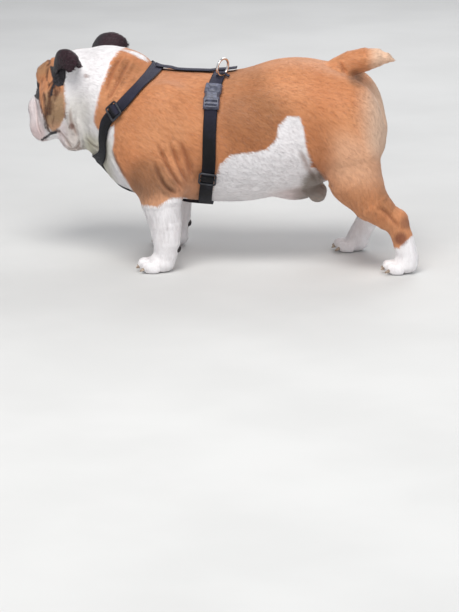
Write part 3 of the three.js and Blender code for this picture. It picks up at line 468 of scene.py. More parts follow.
def lid_cone(p, side):
    """Below zero in the almond between the lids."""
    look, level, upward = eye_axes(side)
    q = p - eye_centre(side)
    ahead = np.maximum(q @ look, 0.1)
    a, b = (q @ level) / ahead, (q @ upward) / ahead
    droop = b + 0.12 * side * a + 0.05
    almond = np.abs(droop) / 0.50 + (np.abs(a) / 0.98) ** 1.7 - 1
    return np.where(q @ look > 0, almond * 5, 30)


def head_line(points, count, mirrored=1):
    """A line given in the head's frame, laid on the head."""
    line = catmull([(f, mirrored * s, u) for f, s, u in points], count)
    return from_head(settle(head_shape, line))


MOUTH = [(104, 0, -77), (99, 16, -79), (94, 28, -88), (84, 40, -106), (64, 50, -118), (40, 54, -116)]
CLEFT = [(99, 0, -44), (101, 0, -60), (103, 0, -76)]
MOUTH_LINES = [head_line(MOUTH, 18, m) for m in (1, -1)]
CLEFT_LINE = head_line(CLEFT, 8)


def nose_shape(f, s, u):
    return melt(NOSE_FORMS, f, np.abs(s), u)


def skin_field(x, y, z):
    p = np.stack([x, y, z], axis=1)
    d = flesh(x, y, z, toe_blend=2.5)
    d = smooth_min(d, melt(SCROTUM_FORMS, x, np.abs(y), z), 6)
    d = d + COAT_DEPTH
    head = x < -150
    q = p[head]
    dh = d[head]
    for side in (1, -1):
        dh = smooth_min(dh, ear_distance(q, side), 7)
        from_eye = np.linalg.norm(q - eye_centre(side), axis=1)
        dh = smooth_min(dh, from_eye - EYE_RADIUS - LID, 5)
        hollow = np.maximum(from_eye - EYE_RADIUS - 6, lid_cone(q, side))
        dh = carved(dh, hollow, 1.5)
        dh = np.maximum(dh, EYE_RADIUS + 0.25 - from_eye)
    for line in MOUTH_LINES:
        dh = carved(dh, tube_distance(q, line, 1.7), 3)
    dh = carved(dh, tube_distance(q, CLEFT_LINE, 1.4), 3)
    dh = np.maximum(dh, -(nose_shape(*to_head(*q.T)) - 0.2))
    d[head] = dh
    return np.maximum(d, 0.4 - z)


# surface nets over a grid whose lines may stand closer where detail is

def polygonize(field, xs, ys, zs, block=8, near=18.0):
    lines = [xs, ys, zs] = [np.asarray(v, np.float32) for v in (xs, ys, zs)]
    n = [len(v) for v in lines]
    starts = [np.arange(0, m - 1, block) for m in n]
    middle = [v[np.minimum(s + block // 2, len(v) - 1)] for v, s in zip(lines, starts)]
    gx, gy, gz = np.meshgrid(*middle, indexing="ij")
    coarse = field(gx.ravel(), gy.ravel(), gz.ravel()).reshape(gx.shape)
    values = np.repeat(np.repeat(np.repeat(coarse, block, 0), block, 1), block, 2)
    values = np.pad(values, [(0, 1)] * 3, mode="edge")[:n[0], :n[1], :n[2]].astype(np.float32)
    close = np.argwhere(np.abs(coarse) < near)
    offset = np.stack(np.meshgrid(*[np.arange(block + 1)] * 3, indexing="ij"), -1).reshape(-1, 3)
    for part in np.array_split(close, max(1, len(close) // 500)):
        index = (part[:, None, :] * block + offset[None]).reshape(-1, 3)
        index = np.minimum(index, np.array(n) - 1)
        i, j, k = index.T
        values[i, j, k] = field(xs[i], ys[j], zs[k])
    inside = values < 0
    mixed = np.zeros([m - 1 for m in n], bool)
    base = inside[:-1, :-1, :-1]
    for c in range(1, 8):
        a, b, e = c & 1, c >> 1 & 1, c >> 2
        mixed |= inside[a:n[0] - 1 + a, b:n[1] - 1 + b, e:n[2] - 1 + e] != base
    cells = np.argwhere(mixed)
    number = np.full(mixed.shape, -1, np.int32)
    number[tuple(cells.T)] = np.arange(len(cells))
    corner = [values[tuple((cells + (c & 1, c >> 1 & 1, c >> 2)).T)] for c in range(8)]
    total = np.zeros((len(cells), 3))
    count = np.zeros(len(cells))
    for c in range(8):
        for axis in range(3):
            if c >> axis & 1:
                continue
            a, b = corner[c], corner[c | 1 << axis]
            crossed = (a < 0) != (b < 0)
            t = np.where(crossed, a / np.where(crossed, a - b, 1), 0)
            for k in range(3):
                total[:, k] += crossed * (t if k == axis else c >> k & 1)
            count += crossed
    total /= count[:, None]
    verts = np.empty_like(total)
    for axis, v in enumerate(lines):
        i = cells[:, axis]
        verts[:, axis] = v[i] + total[:, axis] * (v[i + 1] - v[i])
    quads = []
    for axis in range(3):
        p, q = (axis + 1) % 3, (axis + 2) % 3
        here = [slice(None)] * 3
        after = [slice(None)] * 3
        here[axis], after[axis] = slice(0, -1), slice(1, None)
        edge = np.argwhere(inside[tuple(here)] != inside[tuple(after)])
        edge = edge[(edge[:, p] > 0) & (edge[:, q] > 0) & (edge[:, p] < n[p] - 1) & (edge[:, q] < n[q] - 1)]
        ring = []
        for dp, dq in ((1, 1), (0, 1), (0, 0), (1, 0)):
            cell = edge.copy()
            cell[:, p] -= dp
            cell[:, q] -= dq
            ring.append(number[tuple(cell.T)])
        ring = np.stack(ring, 1)
        flip = ~inside[tuple(edge.T)]
        ring[flip] = ring[flip][:, ::-1]
        quads.append(ring)
    return verts, np.vstack(quads)


def vertex_normals(verts, quads):
    a, b, c, d = (verts[quads[:, i]] for i in range(4))
    face = np.cross(c - a, d - b)
    normal = np.zeros_like(verts)
    for i in range(4):
        np.add.at(normal, quads[:, i], face)
    return unit(normal)


def make_mesh(name, verts, faces, paint, **attributes):
    """A mesh object from points in the field's millimetres and the corners of its faces, all of one size."""
    data = bpy.data.meshes.new(name)
    data.vertices.add(len(verts))
    data.vertices.foreach_set("co", ((verts + (SHIFT, 0, 0)) / 1000).astype(np.float32).ravel())
    data.loops.add(faces.size)
    data.loops.foreach_set("vertex_index", faces.ravel().astype(np.int32))
    data.polygons.add(len(faces))
    starts = np.arange(len(faces)) * faces.shape[1]
    data.polygons.foreach_set("loop_start", starts.astype(np.int32))
    data.polygons.foreach_set("use_smooth", np.ones(len(faces), bool))
    for key, value in attributes.items():
        value = np.asarray(value, np.float32)
        kind = "FLOAT" if value.ndim == 1 else "FLOAT_VECTOR"
        layer = data.attributes.new(key, kind, "POINT")
        layer.data.foreach_set("value" if value.ndim == 1 else "vector", value.ravel())
    data.update(calc_edges=True)
    data.validate()
    thing = bpy.data.objects.new(name, data)
    bpy.context.scene.collection.objects.link(thing)
    data.materials.append(paint.material)
    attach(thing, "root")
    return thing


# folds: creases drawn on the surface that press the skin in and raise it beside them; the coat's colour is
# darkened in their valleys as painted shade

DEEPEST, HIGHEST = 5, 2.4  # mm that creases may press the skin in and raise it, all told
# the side drawing shows the left flank a little from above and behind; its units run right and down
ORIGIN_DRAWN = (225, 259)  # where the field's origin stands in it
HEAD_DRAWN = (-275, 341.6)  # where the head's origin stands from there, in mm to the right and up
RIGHT_X, RIGHT_Y = 0.997, 0.078  # how much of x and y goes to the right
UP_X, UP_Y, UP_Z = -0.0156, 0.198, 0.98  # how much of x, y and z goes up


def drawn(right, up):
    return ORIGIN_DRAWN[0] + right / UNIT, ORIGIN_DRAWN[1] - up / UNIT


def seen_from_left(x, y, z):
    """Where a point of the body stands in the side drawing."""
    return drawn(RIGHT_X * x + RIGHT_Y * y, UP_Z * z + UP_X * x + UP_Y * y)


def head_from_left(f, s, u):
    """Where a point of the head stands in the side drawing, for both halves as on the near one."""
    s = np.abs(s)
    return drawn(HEAD_DRAWN[0] - 0.878 * f - 0.477 * s, HEAD_DRAWN[1] + 0.0948 * f - 0.1746 * s + UP_Z * u)


def side_line(points, mirrored):
    """A line given in the side drawing, laid on the left flank, or on the right one where mirrored is -1."""
    y = -np.linspace(150, 0, 301)
    placed = []
    for a, b, _ in catmull([(a, b, 0) for a, b in points], 16):
        x = ((a - ORIGIN_DRAWN[0]) * UNIT - RIGHT_Y * y) / RIGHT_X
        z = ((ORIGIN_DRAWN[1] - b) * UNIT - UP_X * x - UP_Y * y) / UP_Z
        inside = np.argmax(flesh(x, y, z) < 0)
        placed.append((x[inside], mirrored * y[inside], z[inside]))
    return np.array(placed)


def far_from(p, line, reach):
    """How far each point is from a line, and how far along it; far points are left at a large value."""
    low, high = line.min(0) - reach, line.max(0) + reach
    near = np.all((p > low) & (p < high), axis=1)
    q = p[near]
    best = np.full(len(q), 1e6)
    along = np.zeros(len(q))
    for i, (a, b) in enumerate(zip(line, line[1:])):
        u = b - a
        t = np.clip((q - a) @ u / max(u @ u, 1e-9), 0, 1)
        d = np.linalg.norm(q - a - t[:, None] * u, axis=1)
        closer = d < best
        best[closer] = d[closer]
        along[closer] = (i + t[closer]) / (len(line) - 1)
    distance = np.full(len(p), 1e6)
    distance[near] = best
    place = np.zeros(len(p))
    place[near] = along
    return distance, place


def crease_of(p, line, width, depth, ridge):
    """How far a crease lifts each point, and how deep in its valley the point is, 0 to 1."""
    d, along = far_from(p, line, width * 5)
    fade = np.clip(np.minimum(along, 1 - along) * 5, 0, 1) ** 0.7
    valley = np.exp(-(d / width) ** 2)
    shoulder = np.exp(-((d - 2.1 * width) / (1.1 * width)) ** 2)
    return fade * (ridge * shoulder - depth * valley), fade * valley


# lines of the face in the head's frame, with the width, depth and ridge of their crease
HEAD_CREASES = [
    ([(72, 14, 6), (64, 32, 0), (54, 52, -26), (46, 64, -58), (40, 66, -84)], 2.6, 3.4, 1.3),
    ([(78, 20, -24), (70, 38, -34), (62, 54, -58), (56, 60, -84), (50, 58, -104)], 2.2, 3.0, 1.0),
    ([(30, 70, -30), (26, 80, -56), (22, 78, -84)], 3.0, 2.2, 1.2),
    ([(52, 10, 34), (46, 30, 36), (34, 48, 30)], 2.6, 1.8, 1.0),
    ([(34, 8, 50), (28, 28, 50), (16, 46, 44)], 2.8, 1.4, 0.8),
    ([(64, 8, 18), (58, 26, 18), (50, 42, 8)], 2.2, 2.0, 0.9),
    ([(4, 76, -76), (-6, 70, -104), (-16, 56, -124)], 3.2, 2.6, 1.4),
    ([(6, 62, -92), (5, 60, -107), (-4, 56, -121), (-19, 52, -122), (-35, 58, -108), (-42, 66, -79),
      (-41, 72, -47)], 2.6, 3.2, 1.6),
    ([(-22, 76, -40), (-30, 76, -72), (-36, 66, -100)], 3.6, 1.8, 1.2),
]
# lines of the body in the side drawing, with the same
BODY_CREASES = [
    ([(160, 146), (166, 160), (174, 174), (184, 190)], 3.2, 4.8, 2.4),
    ([(171, 142), (177, 158), (183, 172), (190, 184)], 3.2, 3.4, 2.0),
    ([(156, 160), (160, 174), (167, 186), (178, 194)], 3.4, 4.8, 2.4),
    ([(181, 140), (187, 158), (192, 176)], 4.2, 1.8, 1.2),
    ([(124, 56), (117, 66), (111, 80), (107, 94)], 3.6, 2.8, 1.8),
    ([(132, 60), (124, 74), (116, 90), (109, 102)], 3.4, 2.2, 1.4),
    ([(86, 138), (94, 146), (104, 150)], 3.2, 2.8, 1.6),
    ([(76, 146), (84, 151), (94, 155)], 3.0, 2.2, 1.4),
    ([(308, 160), (318, 174), (330, 188)], 4.0, 2.6, 1.4),
    ([(298, 150), (306, 166), (318, 184)], 4.6, 1.8, 1.2),
    ([(337, 62), (341, 70), (347, 79)], 3.0, 3.4, 1.4),
    ([(376, 206), (386, 214), (396, 226)], 4.0, 2.0, 1.0),
    ([(112, 150), (118, 164), (126, 178)], 4.6, 1.8, 1.2),
]


def fold(verts, normals):
    """The points pressed in and raised by every crease, and how deep in a crease each one is."""
    lift, deep = np.zeros(len(verts)), np.zeros(len(verts))
    for mirrored in (1, -1):
        creases = [(head_line(points, 12, mirrored), *form) for points, *form in HEAD_CREASES]
        creases += [(side_line(points, mirrored), *form) for points, *form in BODY_CREASES]
        for crease in creases:
            change, valley = crease_of(verts, *crease)
            lift += change
            deep = np.maximum(deep, valley)
    return verts + normals * np.clip(lift, -DEEPEST, HIGHEST)[:, None], deep


# markings and painted shade: patches and lines of the side drawing

FAWN_PATCH = [(152, 58), (147, 62), (141, 60), (134, 56), (127, 53), (121, 51), (117, 54), (111, 63),
              (108, 75), (103, 86), (100, 96), (97, 110), (95, 122), (99, 130), (108, 128), (116, 126),
              (114, 150), (117, 160), (125, 175), (133, 190), (142, 203),
              (158, 206), (172, 197), (184, 197), (192, 202), (205, 203), (214, 182), (220, 165), (230, 155),
              (250, 152), (265, 150), (275, 140), (277, 125), (286, 117), (297, 118), (301, 130), (303, 143),
              (308, 160), (327, 184), (343, 200), (355, 216), (374, 232), (380, 246), (396, 247), (412, 232),
              (430, 180), (430, 20), (200, 20), (160, 40)]
HEAD_PATCH = [(60, 40), (63, 56), (66, 70), (66, 90), (68, 106), (66, 117), (61, 127), (54, 132), (48, 126),
              (44, 114), (41, 102), (38, 94), (33, 86), (28, 70), (30, 40)]
EYE_PATCH = [(28, 79), (37, 79), (40, 85), (41, 94), (40, 100), (37, 98), (30, 92)]
EAR_FOOT = [(51, 66), (68, 68), (68, 78), (65, 86), (60, 87), (55, 84), (53, 76)]
# lines of the face, with half their width and their strength
BROWN_LINES = [
    ([(50, 60), (49, 70), (49, 78), (52, 86)], 1.5, 0.9),
    ([(56, 84), (53, 92), (52, 102), (50, 112)], 3.6, 0.95),
    ([(61, 84), (58, 92), (56, 99)], 3.0, 0.8),
    ([(46, 94), (47, 104), (47, 116), (48, 126)], 2.2, 0.85),
    ([(67, 86), (67, 100), (67, 118)], 1.1, 0.7),
    ([(38, 92), (41, 102), (43, 112)], 1.6, 0.7),
    ([(57, 108), (55, 120), (53, 130)], 1.5, 0.5),
    ([(44, 62), (42, 74), (43, 88)], 2.6, 0.35),
    ([(47, 124), (51, 131), (60, 131)], 2.0, 0.85),
]
BLACK_LINES = [
    ([(56, 84), (54, 90), (53, 95)], 1.6, 0.8),
    ([(36, 80), (37, 88), (39, 97)], 1.8, 0.9),
    ([(45, 114), (46, 121), (46, 128)], 0.9, 0.7),
    ([(42, 139), (47, 136), (52, 133), (57, 132)], 1.3, 0.9),
]


def off_piece(a, b, start, stop):
    """How far places of the drawing lie right of and below the nearest point of a straight piece."""
    (x0, y0), (x1, y1) = start, stop
    ux, uy = x1 - x0, y1 - y0
    t = np.clip(((a - x0) * ux + (b - y0) * uy) / (ux * ux + uy * uy), 0, 1)
    return a - x0 - t * ux, b - y0 - t * uy


def polygon_distance(a, b, corners):
    """How far places of the drawing are inside a patch, or below zero how far outside it."""
    c = np.array(corners, float)
    best = np.full(a.shape, 1e9)
    inside = np.zeros(a.shape, bool)
    for (x0, y0), (x1, y1) in zip(c, np.roll(c, -1, 0)):
        right, down = off_piece(a, b, (x0, y0), (x1, y1))
        best = np.minimum(best, right ** 2 + down ** 2)
        crosses = (y0 > b) != (y1 > b)
        inside ^= crosses & (a < (x1 - x0) * (b - y0) / np.where(y1 == y0, 1, y1 - y0) + x0)
    return np.where(inside, 1, -1) * np.sqrt(best)


def stroke(a, b, points, width):
    """Above zero within width of a line in the side drawing."""
    line = catmull([(p, q, 0) for p, q in points], 14)[:, :2]
    best = np.full(a.shape, 1e9)
    for start, stop in zip(line, line[1:]):
        best = np.minimum(best, np.hypot(*off_piece(a, b, start, stop)))
    return width - best


def smooth(value, low, high):
    """0 below low, 1 above high, and a soft step between."""
    t = np.clip((value - low) / (high - low), 0, 1)
    return t * t * (3 - 2 * t)


def spot(a, b, centre, radius):
    """1 round a place of the drawing, fading to 0 at the radius."""
    return 1 - smooth(np.hypot(a - centre[0], b - centre[1]), radius * 0.4, radius)


def soft_lines(a, b, lines, blur):
    """The strongest of several soft lines at each place of the drawing, 0 to 1."""
    return np.maximum.reduce([force * smooth(stroke(a, b, line, width), -blur, blur)
                              for line, width, force in lines])


def strands(p):
    """A place for the grain of the coat, drawn out along the way it lies."""
    x, y, z = p.T
    f, s, u = to_head(x, y, z)
    body = np.stack([0.2 * (0.92 * x - 0.38 * z), y, 0.38 * x + 0.92 * z], axis=1)
    leg = (smooth(-z, -190, -140) * (1 - smooth(x, -60, -20) * smooth(-x, -200, -150)))[:, None]
    grain = body * (1 - leg) + np.stack([x, y, 0.22 * z], axis=1) * leg
    head = smooth(f, -50, -20)[:, None]
    return grain * (1 - head) + np.stack([f, s, 0.25 * u], axis=1) * head


def markings(p):
    """The strength of each marking and of the painted shade at each point; fawn and lips are distances in the
    drawing's units.
    """
    x, y, z = p.T
    f, s, u = to_head(x, y, z)
    away, aside = np.abs(y), np.abs(s)
    a, b = seen_from_left(x, -away, z)
    ha, hb = head_from_left(f, s, u)
    on_head = smooth(f, -40, -26)
    tuft = on_head * spot(ha, hb, (51.5, 79), 3.4)  # the white tuft before the ear
    ear = np.minimum(ear_distance(p, 1), ear_distance(p, -1))
    on_ear = smooth(3.4 - ear, -0.8, 0.8)

    past = smooth(y, 0, 60)  # the white collar is wider on the dog's right
    fawn = polygon_distance(a - 11 * past * smooth(-x, 60, 140), b, FAWN_PATCH)
    under = smooth(x, 136, 152) * smooth(-z, -212, -190) * smooth(-b, -216, -206)
    fawn += 16 * smooth(away, 84, 98) * under
    head_fawn = polygon_distance(ha, hb, HEAD_PATCH)
    blaze = 9 * smooth(u, -20, 6) * (1 - 0.6 * smooth(u, 20, 60)) - aside
    head_fawn = np.minimum(head_fawn, -blaze * 0.5 + 30 * smooth(-f, 0, 30))
    fawn = fawn * (1 - on_head) + (head_fawn - 9 * tuft) * on_head
    fawn = np.where((on_head > 0) & (on_head < 1), np.minimum(fawn, -0.5), fawn)

    dark = smooth(polygon_distance(ha, hb, EYE_PATCH), -1.2, 1.2) * smooth(aside, 16, 26)
    dark = np.maximum(dark, smooth(polygon_distance(ha, hb, EAR_FOOT), -1.6, 1.8))
    dark = np.maximum(dark, soft_lines(ha, hb, BLACK_LINES, 1.4))
    middle = smooth(-aside, -30, -18) * smooth(u, -8, 6)
    dark = np.maximum(dark * on_head * (1 - tuft) * (1 - middle), on_ear)
    brown = soft_lines(ha, hb, BROWN_LINES, 2.8) * on_head * (1 - tuft) * smooth(aside, 12, 24)

    lips = np.full(len(p), -9.0)
    for line in MOUTH_LINES:
        lips = np.maximum(lips, (2.2 - far_from(p, line, 12)[0]) / UNIT)
    from_eye = np.minimum(*[np.linalg.norm(p - eye_centre(side), axis=1) for side in (1, -1)])
    lips = np.maximum(lips, (EYE_RADIUS + 4.2 - from_eye) / UNIT)
    around_nose = (3.0 - np.abs(nose_shape(f, s, u))) / UNIT
    lips = np.maximum(lips, np.where(f > 54, around_nose, -9))

    cheek = on_head * smooth(ha, 42, 50) * smooth(-ha, -68, -64) * smooth(hb, 86, 100)
    muzzle = on_head * smooth(-ha, -50, -42) * smooth(hb, 92, 104)
    jowl = on_head * smooth(hb, 116, 128) * smooth(ha, 56, 62)
    groin = smooth(x, 60, 130) * smooth(-x, -200, -160) * smooth(-z, -165, -140) * smooth(-away, -80, -40)
    sac = smooth(-melt(SCROTUM_FORMS, x, away, z), -3, 1)
    inner = spot(a, b, (312, 182), 16) * smooth(-away, -112, -70)
    dewlap = smooth(-z, -262, -232) * smooth(a, 80, 92) * smooth(-x, 190, 225)
    # painted shade: the white greyed over the wrinkles of the collar
    wrinkle_shade = 0.35 * smooth(-a, -100, -84) * smooth(a, 62, 72) * smooth(b, 84, 110)
    # painted shade: spots darkened where shade falls, under the tail base, in the fold of the elbow and at
    # other places of the flank and legs
    spots = [(0.8, (250, 120), 48), (0.55, (244, 88), 34), (0.55, (129, 74), 20), (1.1, (150, 178), 27),
             (0.6, (386, 198), 18), (1, (353, 80), 12), (1, (168, 186), 13), (0.5, (236, 150), 16)]
    shade_spots = np.maximum.reduce([strength * spot(a, b, place, radius) for strength, place, radius in spots])
    tail_pale = smooth(x, 262, 288) * smooth(z, 352, 372)
    rump = smooth(a, 346, 376) * smooth(b, 78, 100) * smooth(-b, -180, -140)
    foreleg = smooth(b, 150, 210) * smooth(-a, -330, -300)
    thigh = smooth(b, 120, 150) * smooth(a, 318, 340) * smooth(-b, -200, -170)
    hock = 0.8 * spot(a, b, (398, 237), 9) + 0.5 * spot(a, b, (403, 221), 9)
    hock = hock + 0.7 * spot(ha, hb, (73, 126), 4) * on_head
    mole = spot(a, b, (87, 77), 3) * (y < 0)
    pink = 0.5 * muzzle + 0.35 * muzzle * smooth(hb, 118, 132) + 0.45 * jowl + 0.6 * groin
    beige = np.maximum(0.85 * cheek * smooth(-hb, -132, -116), 0.55 * spot(ha, hb, (42, 66), 14))
    return {
        "fawn": fawn, "dark": dark, "brown": brown, "lips": lips,
        "pink": np.clip(pink, 0, 1),
        "pale": np.maximum.reduce([0.5 * cheek, 0.95 * tail_pale, 0.3 * foreleg, 0.4 * thigh, rump]),
        "bare": np.clip(sac + 0.75 * groin * smooth(x, 110, 150) + inner, 0, 1),
        "grey": np.clip(0.8 * dewlap + wrinkle_shade, 0, 1),
        "rust": np.clip(hock + 0.6 * mole, 0, 1),
        "maroon": on_ear * smooth(-f, -6, 22),
        "beige": on_head * beige,
        "shade_spots": shade_spots * (1 - on_head),
        "ear": smooth(-ear, -6, 0),
        "strand": strands(p),
    }


def coat_paint(name, on_tuft):
    """The coat's colour from its markings and painted shade; the skin below and the tufts share it."""
    paint = Paint(name, roughness=0.6, sheen_weight=0.12, sheen_roughness=0.5, specular_ior_level=0.28)
    mix, step, times, plus, mark = paint.mix, paint.step, paint.times, paint.plus, paint.attribute
    grain = mark("strand", True)
    coarse = paint.noise(26, 3)
    slow = paint.noise(7, 2)
    streak = paint.noise(0.16, 4, grain)
    hair = paint.noise(0.75, 2, grain)
    waver = paint.math("SUBTRACT", plus(coarse, times(hair, 0.8)), 0.9)
    fawn_tone = mix(step(slow, 0.35, 0.65), rgb(202, 132, 86), rgb(214, 148, 103))
    fawn_tone = mix(step(streak, 0.40, 0.70, 0, 0.34), fawn_tone, rgb(182, 110, 68))
    fawn_tone = mix(step(hair, 0.45, 0.75, 0, 0.18), fawn_tone, rgb(158, 92, 56))
    fawn_tone = mix(times(mark("pale"), 0.75), fawn_tone, rgb(236, 206, 180))
    # painted shade: the fawn darkened at the shade spots
    fawn_tone = mix(mark("shade_spots"), fawn_tone, rgb(200, 202, 200), "MULTIPLY")
    fawn_tone = mix(mark("beige"), fawn_tone, rgb(152, 124, 92))
    white = mix(step(streak, 0.35, 0.7, 0, 0.6), rgb(248, 245, 246), rgb(234, 229, 230))
    white = mix(step(hair, 0.4, 0.8, 0, 0.25), white, rgb(214, 206, 204))
    white = mix(times(mark("pink"), 0.6), white, rgb(232, 190, 184))
    # greyer white under the throat, and painted shade over the collar's wrinkles
    white = mix(mark("grey"), white, rgb(202, 197, 176))
    edge = step(plus(mark("fawn"), times(waver, 3.4)), -1.1, 1.3)
    colour = mix(edge, white, fawn_tone)
    mottled = times(paint.math("SUBTRACT", streak, 0.5), 1.7)
    brown = step(plus(mark("brown"), mottled), 0.18, 1.0, 0, 0.95)
    brown = times(brown, step(mark("brown"), 0.02, 0.3))
    streaks = mix(step(hair, 0.35, 0.65), rgb(104, 62, 38), rgb(64, 38, 28))
    colour = mix(brown, colour, streaks)
    colour = mix(mark("rust"), colour, rgb(118, 66, 50))
    colour = mix(times(mark("bare"), 0.85), colour, rgb(128, 116, 104))
    black = mix(step(hair, 0.35, 0.7), rgb(24, 22, 25), rgb(58, 54, 60))
    maroon = mix(step(hair, 0.3, 0.7), rgb(24, 14, 19), rgb(62, 30, 42))
    black = mix(mark("maroon"), black, maroon)
    night = step(plus(mark("dark"), times(waver, 0.55)), 0.32, 0.68)
    night = times(night, step(mark("dark"), 0.03, 0.2))
    colour = mix(night, colour, black)
    colour = mix(step(mark("lips"), -0.5, 0.6), colour, rgb(30, 25, 27))
    # painted shade: the coat darkened in the valleys of the creases
    colour = mix(times(mark("deep"), 0.8), colour, rgb(170, 148, 138), "MULTIPLY")
    if on_tuft:
        tone = mark("tone")
        colour = mix(step(tone, 0, 0.5, 0.16, 0.0), colour, rgb(96, 64, 48), "MULTIPLY")
        colour = mix(step(tone, 0.5, 1, 0, 0.10), colour, (1, 1, 1))
    else:
        bump = paint.bump(hair, 0.35, 0.0006)
        paint.put("Normal", paint.bump(streak, 0.15, 0.002, bump))
    paint.put("Base Color", colour)
    return paint


SKIN_PAINT = coat_paint("short_coat_skin", False)
TUFT_PAINT = coat_paint("short_coat_tufts", True)

HEAD_CELL, BODY_CELL = 1.5, 1.9  # mm between the grid's lines across the head and elsewhere
FLOOR_GAP = 0.3
head_lines = np.arange(-404, -206, HEAD_CELL)
body_lines = np.linspace(head_lines[-1], 386, 214)[1:]
XS = np.concatenate([head_lines, body_lines])
YS = np.arange(-152, 154, BODY_CELL)
ZS = np.arange(-1.5, 424, BODY_CELL)
verts, quads = polygonize(skin_field, XS, YS, ZS)
for _ in range(2):
    verts = verts - skin_field(*verts.T)[:, None] * slope(skin_field, verts, 0.35) * 0.9
normals = vertex_normals(verts, quads)
verts, deep = fold(verts, normals)
verts[:, 2] = np.maximum(verts[:, 2], FLOOR_GAP)
normals = vertex_normals(verts, quads)
marks = markings(verts)
skin = make_mesh("skin", verts, quads, SKIN_PAINT, deep=deep, **marks)
FLESH = ["torso", "neck", "head", "tail", "scrotum", "ear_left", "ear_right"]
FLESH += [f"{part}_{side}" for part in ("foreleg", "thigh", "hindleg", "forepaw", "hindpaw")
          for side in ("left", "right")]
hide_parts(*FLESH)

# the short coat: small tapered tufts that lie along the body, with the markings of their roots

TUFT_SWAY = 0.11  # how far a tuft turns out of the way the coat lies, as a share of its length
LENGTH_SPREAD, WIDTH_SPREAD = (0.75, 1.2), (0.8, 1.2)  # the shortest and longest, against the place's own
TUFT_RISE = (2.5, 8)  # degrees that a tuft stands up from the skin
HEAD_END = -60  # mm forward of the head's middle, where the head's coat ends
NECK_END, FORE_END, MIDDLE_END = -120, 20, 165  # where the other pieces of coat end along the body


def lie_of(p, n):
    """The way the coat lies: back from the nose, down the sides and legs, out along the tail."""
    x, y, z = p.T
    f, s, u = to_head(x, y, z)
    head = smooth(f, -70, -10)[:, None]
    leg = smooth(-z, -215, -150)[:, None] * (smooth(-x, 30, 60) + smooth(x, 170, 215))[:, None]
    down = 0.25 + 0.5 * smooth(np.abs(y), 40, 110) * smooth(-z, -370, -300)
    body = np.stack([np.ones_like(x), 0 * x, -down], axis=1)
    legs = np.stack([np.full_like(x, 0.12), 0 * x, -np.ones_like(x)], axis=1)
    face = np.stack([f - NOSE_AT[0], 1.3 * s, u - NOSE_AT[2] + 10], axis=1) @ HEAD_AXES
    face /= np.maximum(np.linalg.norm(face, axis=1, keepdims=True), 1)
    way = body * (1 - leg) + legs * leg
    way = way * (1 - head) + face * head
    tail = (smooth(x, 236, 262) * smooth(z, 350, 366))[:, None]
    way = way * (1 - tail) + np.array([1, 0, 0.1]) * tail
    sway = np.stack([np.sin(x / 23 + z / 31), np.sin(z / 19 + y / 27), np.sin(y / 21 - x / 29)], axis=1)
    way = way + 0.08 * sway
    return unit(way - n * np.sum(way * n, axis=1, keepdims=True))


def turn_share(a, b):
    """The angle from b towards a, as a share of a whole turn."""
    return np.arctan2(a, b) / (2 * math.pi) + 0.5


def unwrap(p):
    """A flat place for each point: the trunk round its axis, the head round its middle, each leg round."""
    x, y, z = p.T
    f, s, u = to_head(x, y, z)
    uv = np.stack([(x + 340) / 700, 0.52 + 0.46 * turn_share(y, z - 250)], axis=1)
    head = f > -40
    pitch = np.arcsin(np.clip((u + 30) / np.sqrt(f * f + s * s + (u + 30) ** 2), -1, 1)) / math.pi + 0.5
    uv[head] = np.stack([0.02 + 0.5 * turn_share(s, f), 0.26 + 0.24 * pitch], axis=1)[head]
    leg = (z < 170) & (np.abs(y) > 50)
    quarter = 2 * (x > 100) + (y > 0)
    middle = np.where(x > 100, np.where(y < 0, 310, 250), -105)
    round_leg = turn_share(x - middle, np.abs(y) - 95)
    uv[leg] = np.stack([0.02 + 0.24 * (quarter + round_leg), 0.02 + 0.2 * z / 170], axis=1)[leg]
    return uv


def grow(name, count, chosen, length, width):
    """One piece of coat: count tufts on the chosen faces of the skin."""
    corners = verts[quads]
    area = np.linalg.norm(np.cross(corners[:, 2] - corners[:, 0], corners[:, 3] - corners[:, 1]), axis=1)
    weight = area * chosen[quads].mean(axis=1)
    face = rng.choice(len(quads), count, p=weight / weight.sum())
    a, b = rng.random((2, count))
    share = np.stack([(1 - a) * (1 - b), a * (1 - b), a * b, (1 - a) * b], axis=1)

    def carried(values):
        """Values of the skin's points, at the roots."""
        return np.einsum("ij,ij...->i...", share, values[quads[face]])

    root, n = carried(verts), unit(carried(normals))
    way = lie_of(root, n)
    side = np.cross(n, way)
    way = way + side * rng.normal(0, TUFT_SWAY, (count, 1))
    size = (carried(length) * rng.uniform(*LENGTH_SPREAD, count))[:, None]
    half = (carried(width) * rng.uniform(*WIDTH_SPREAD, count))[:, None] / 2
    rise = np.sin(np.radians(rng.uniform(*TUFT_RISE, count)))[:, None]
    tips = root + way * size + n * size * rise
    points = np.stack([root - side * half - n * 0.25, root + n * 0.12 - way * 0.5,
                       root + side * half - n * 0.25, tips], axis=1)
    first = np.arange(count)[:, None] * 4
    faces = np.concatenate([first + f for f in ([0, 3, 1], [1, 3, 2], [0, 2, 3], [0, 1, 2])])
    marks = {key: np.repeat(carried(value), 4, axis=0) for key, value in MARKS.items()}
    tone = np.full((count, 4), 0.45)
    tone[:, 3] = rng.random(count)
    tone[:, :3] += 0.35 * (tone[:, 3:] - 0.5)
    points[:, :, 2] = np.maximum(points[:, :, 2], FLOOR_GAP)
    leaning = unit(n + side * rng.normal(0, 0.13, (count, 1)) + way * rng.normal(0.04, 0.10, (count, 1)))
    piece = make_mesh(name, points.reshape(-1, 3), faces, TUFT_PAINT, tone=tone.ravel(),
                      custom_normal=np.repeat(leaning, 4, axis=0), **marks)
    patch = np.array([(-1, -1), (0, 1), (1, -1), (0, 0)]) * 0.0015
    uv = (np.clip(unwrap(root), 0.002, 0.998)[:, None] + patch[None]).reshape(-1, 2)
    layer = piece.data.uv_layers.new(name="OFBake")
    layer.data.foreach_set("uv", uv[faces.ravel()].astype(np.float32).ravel())
    return piece


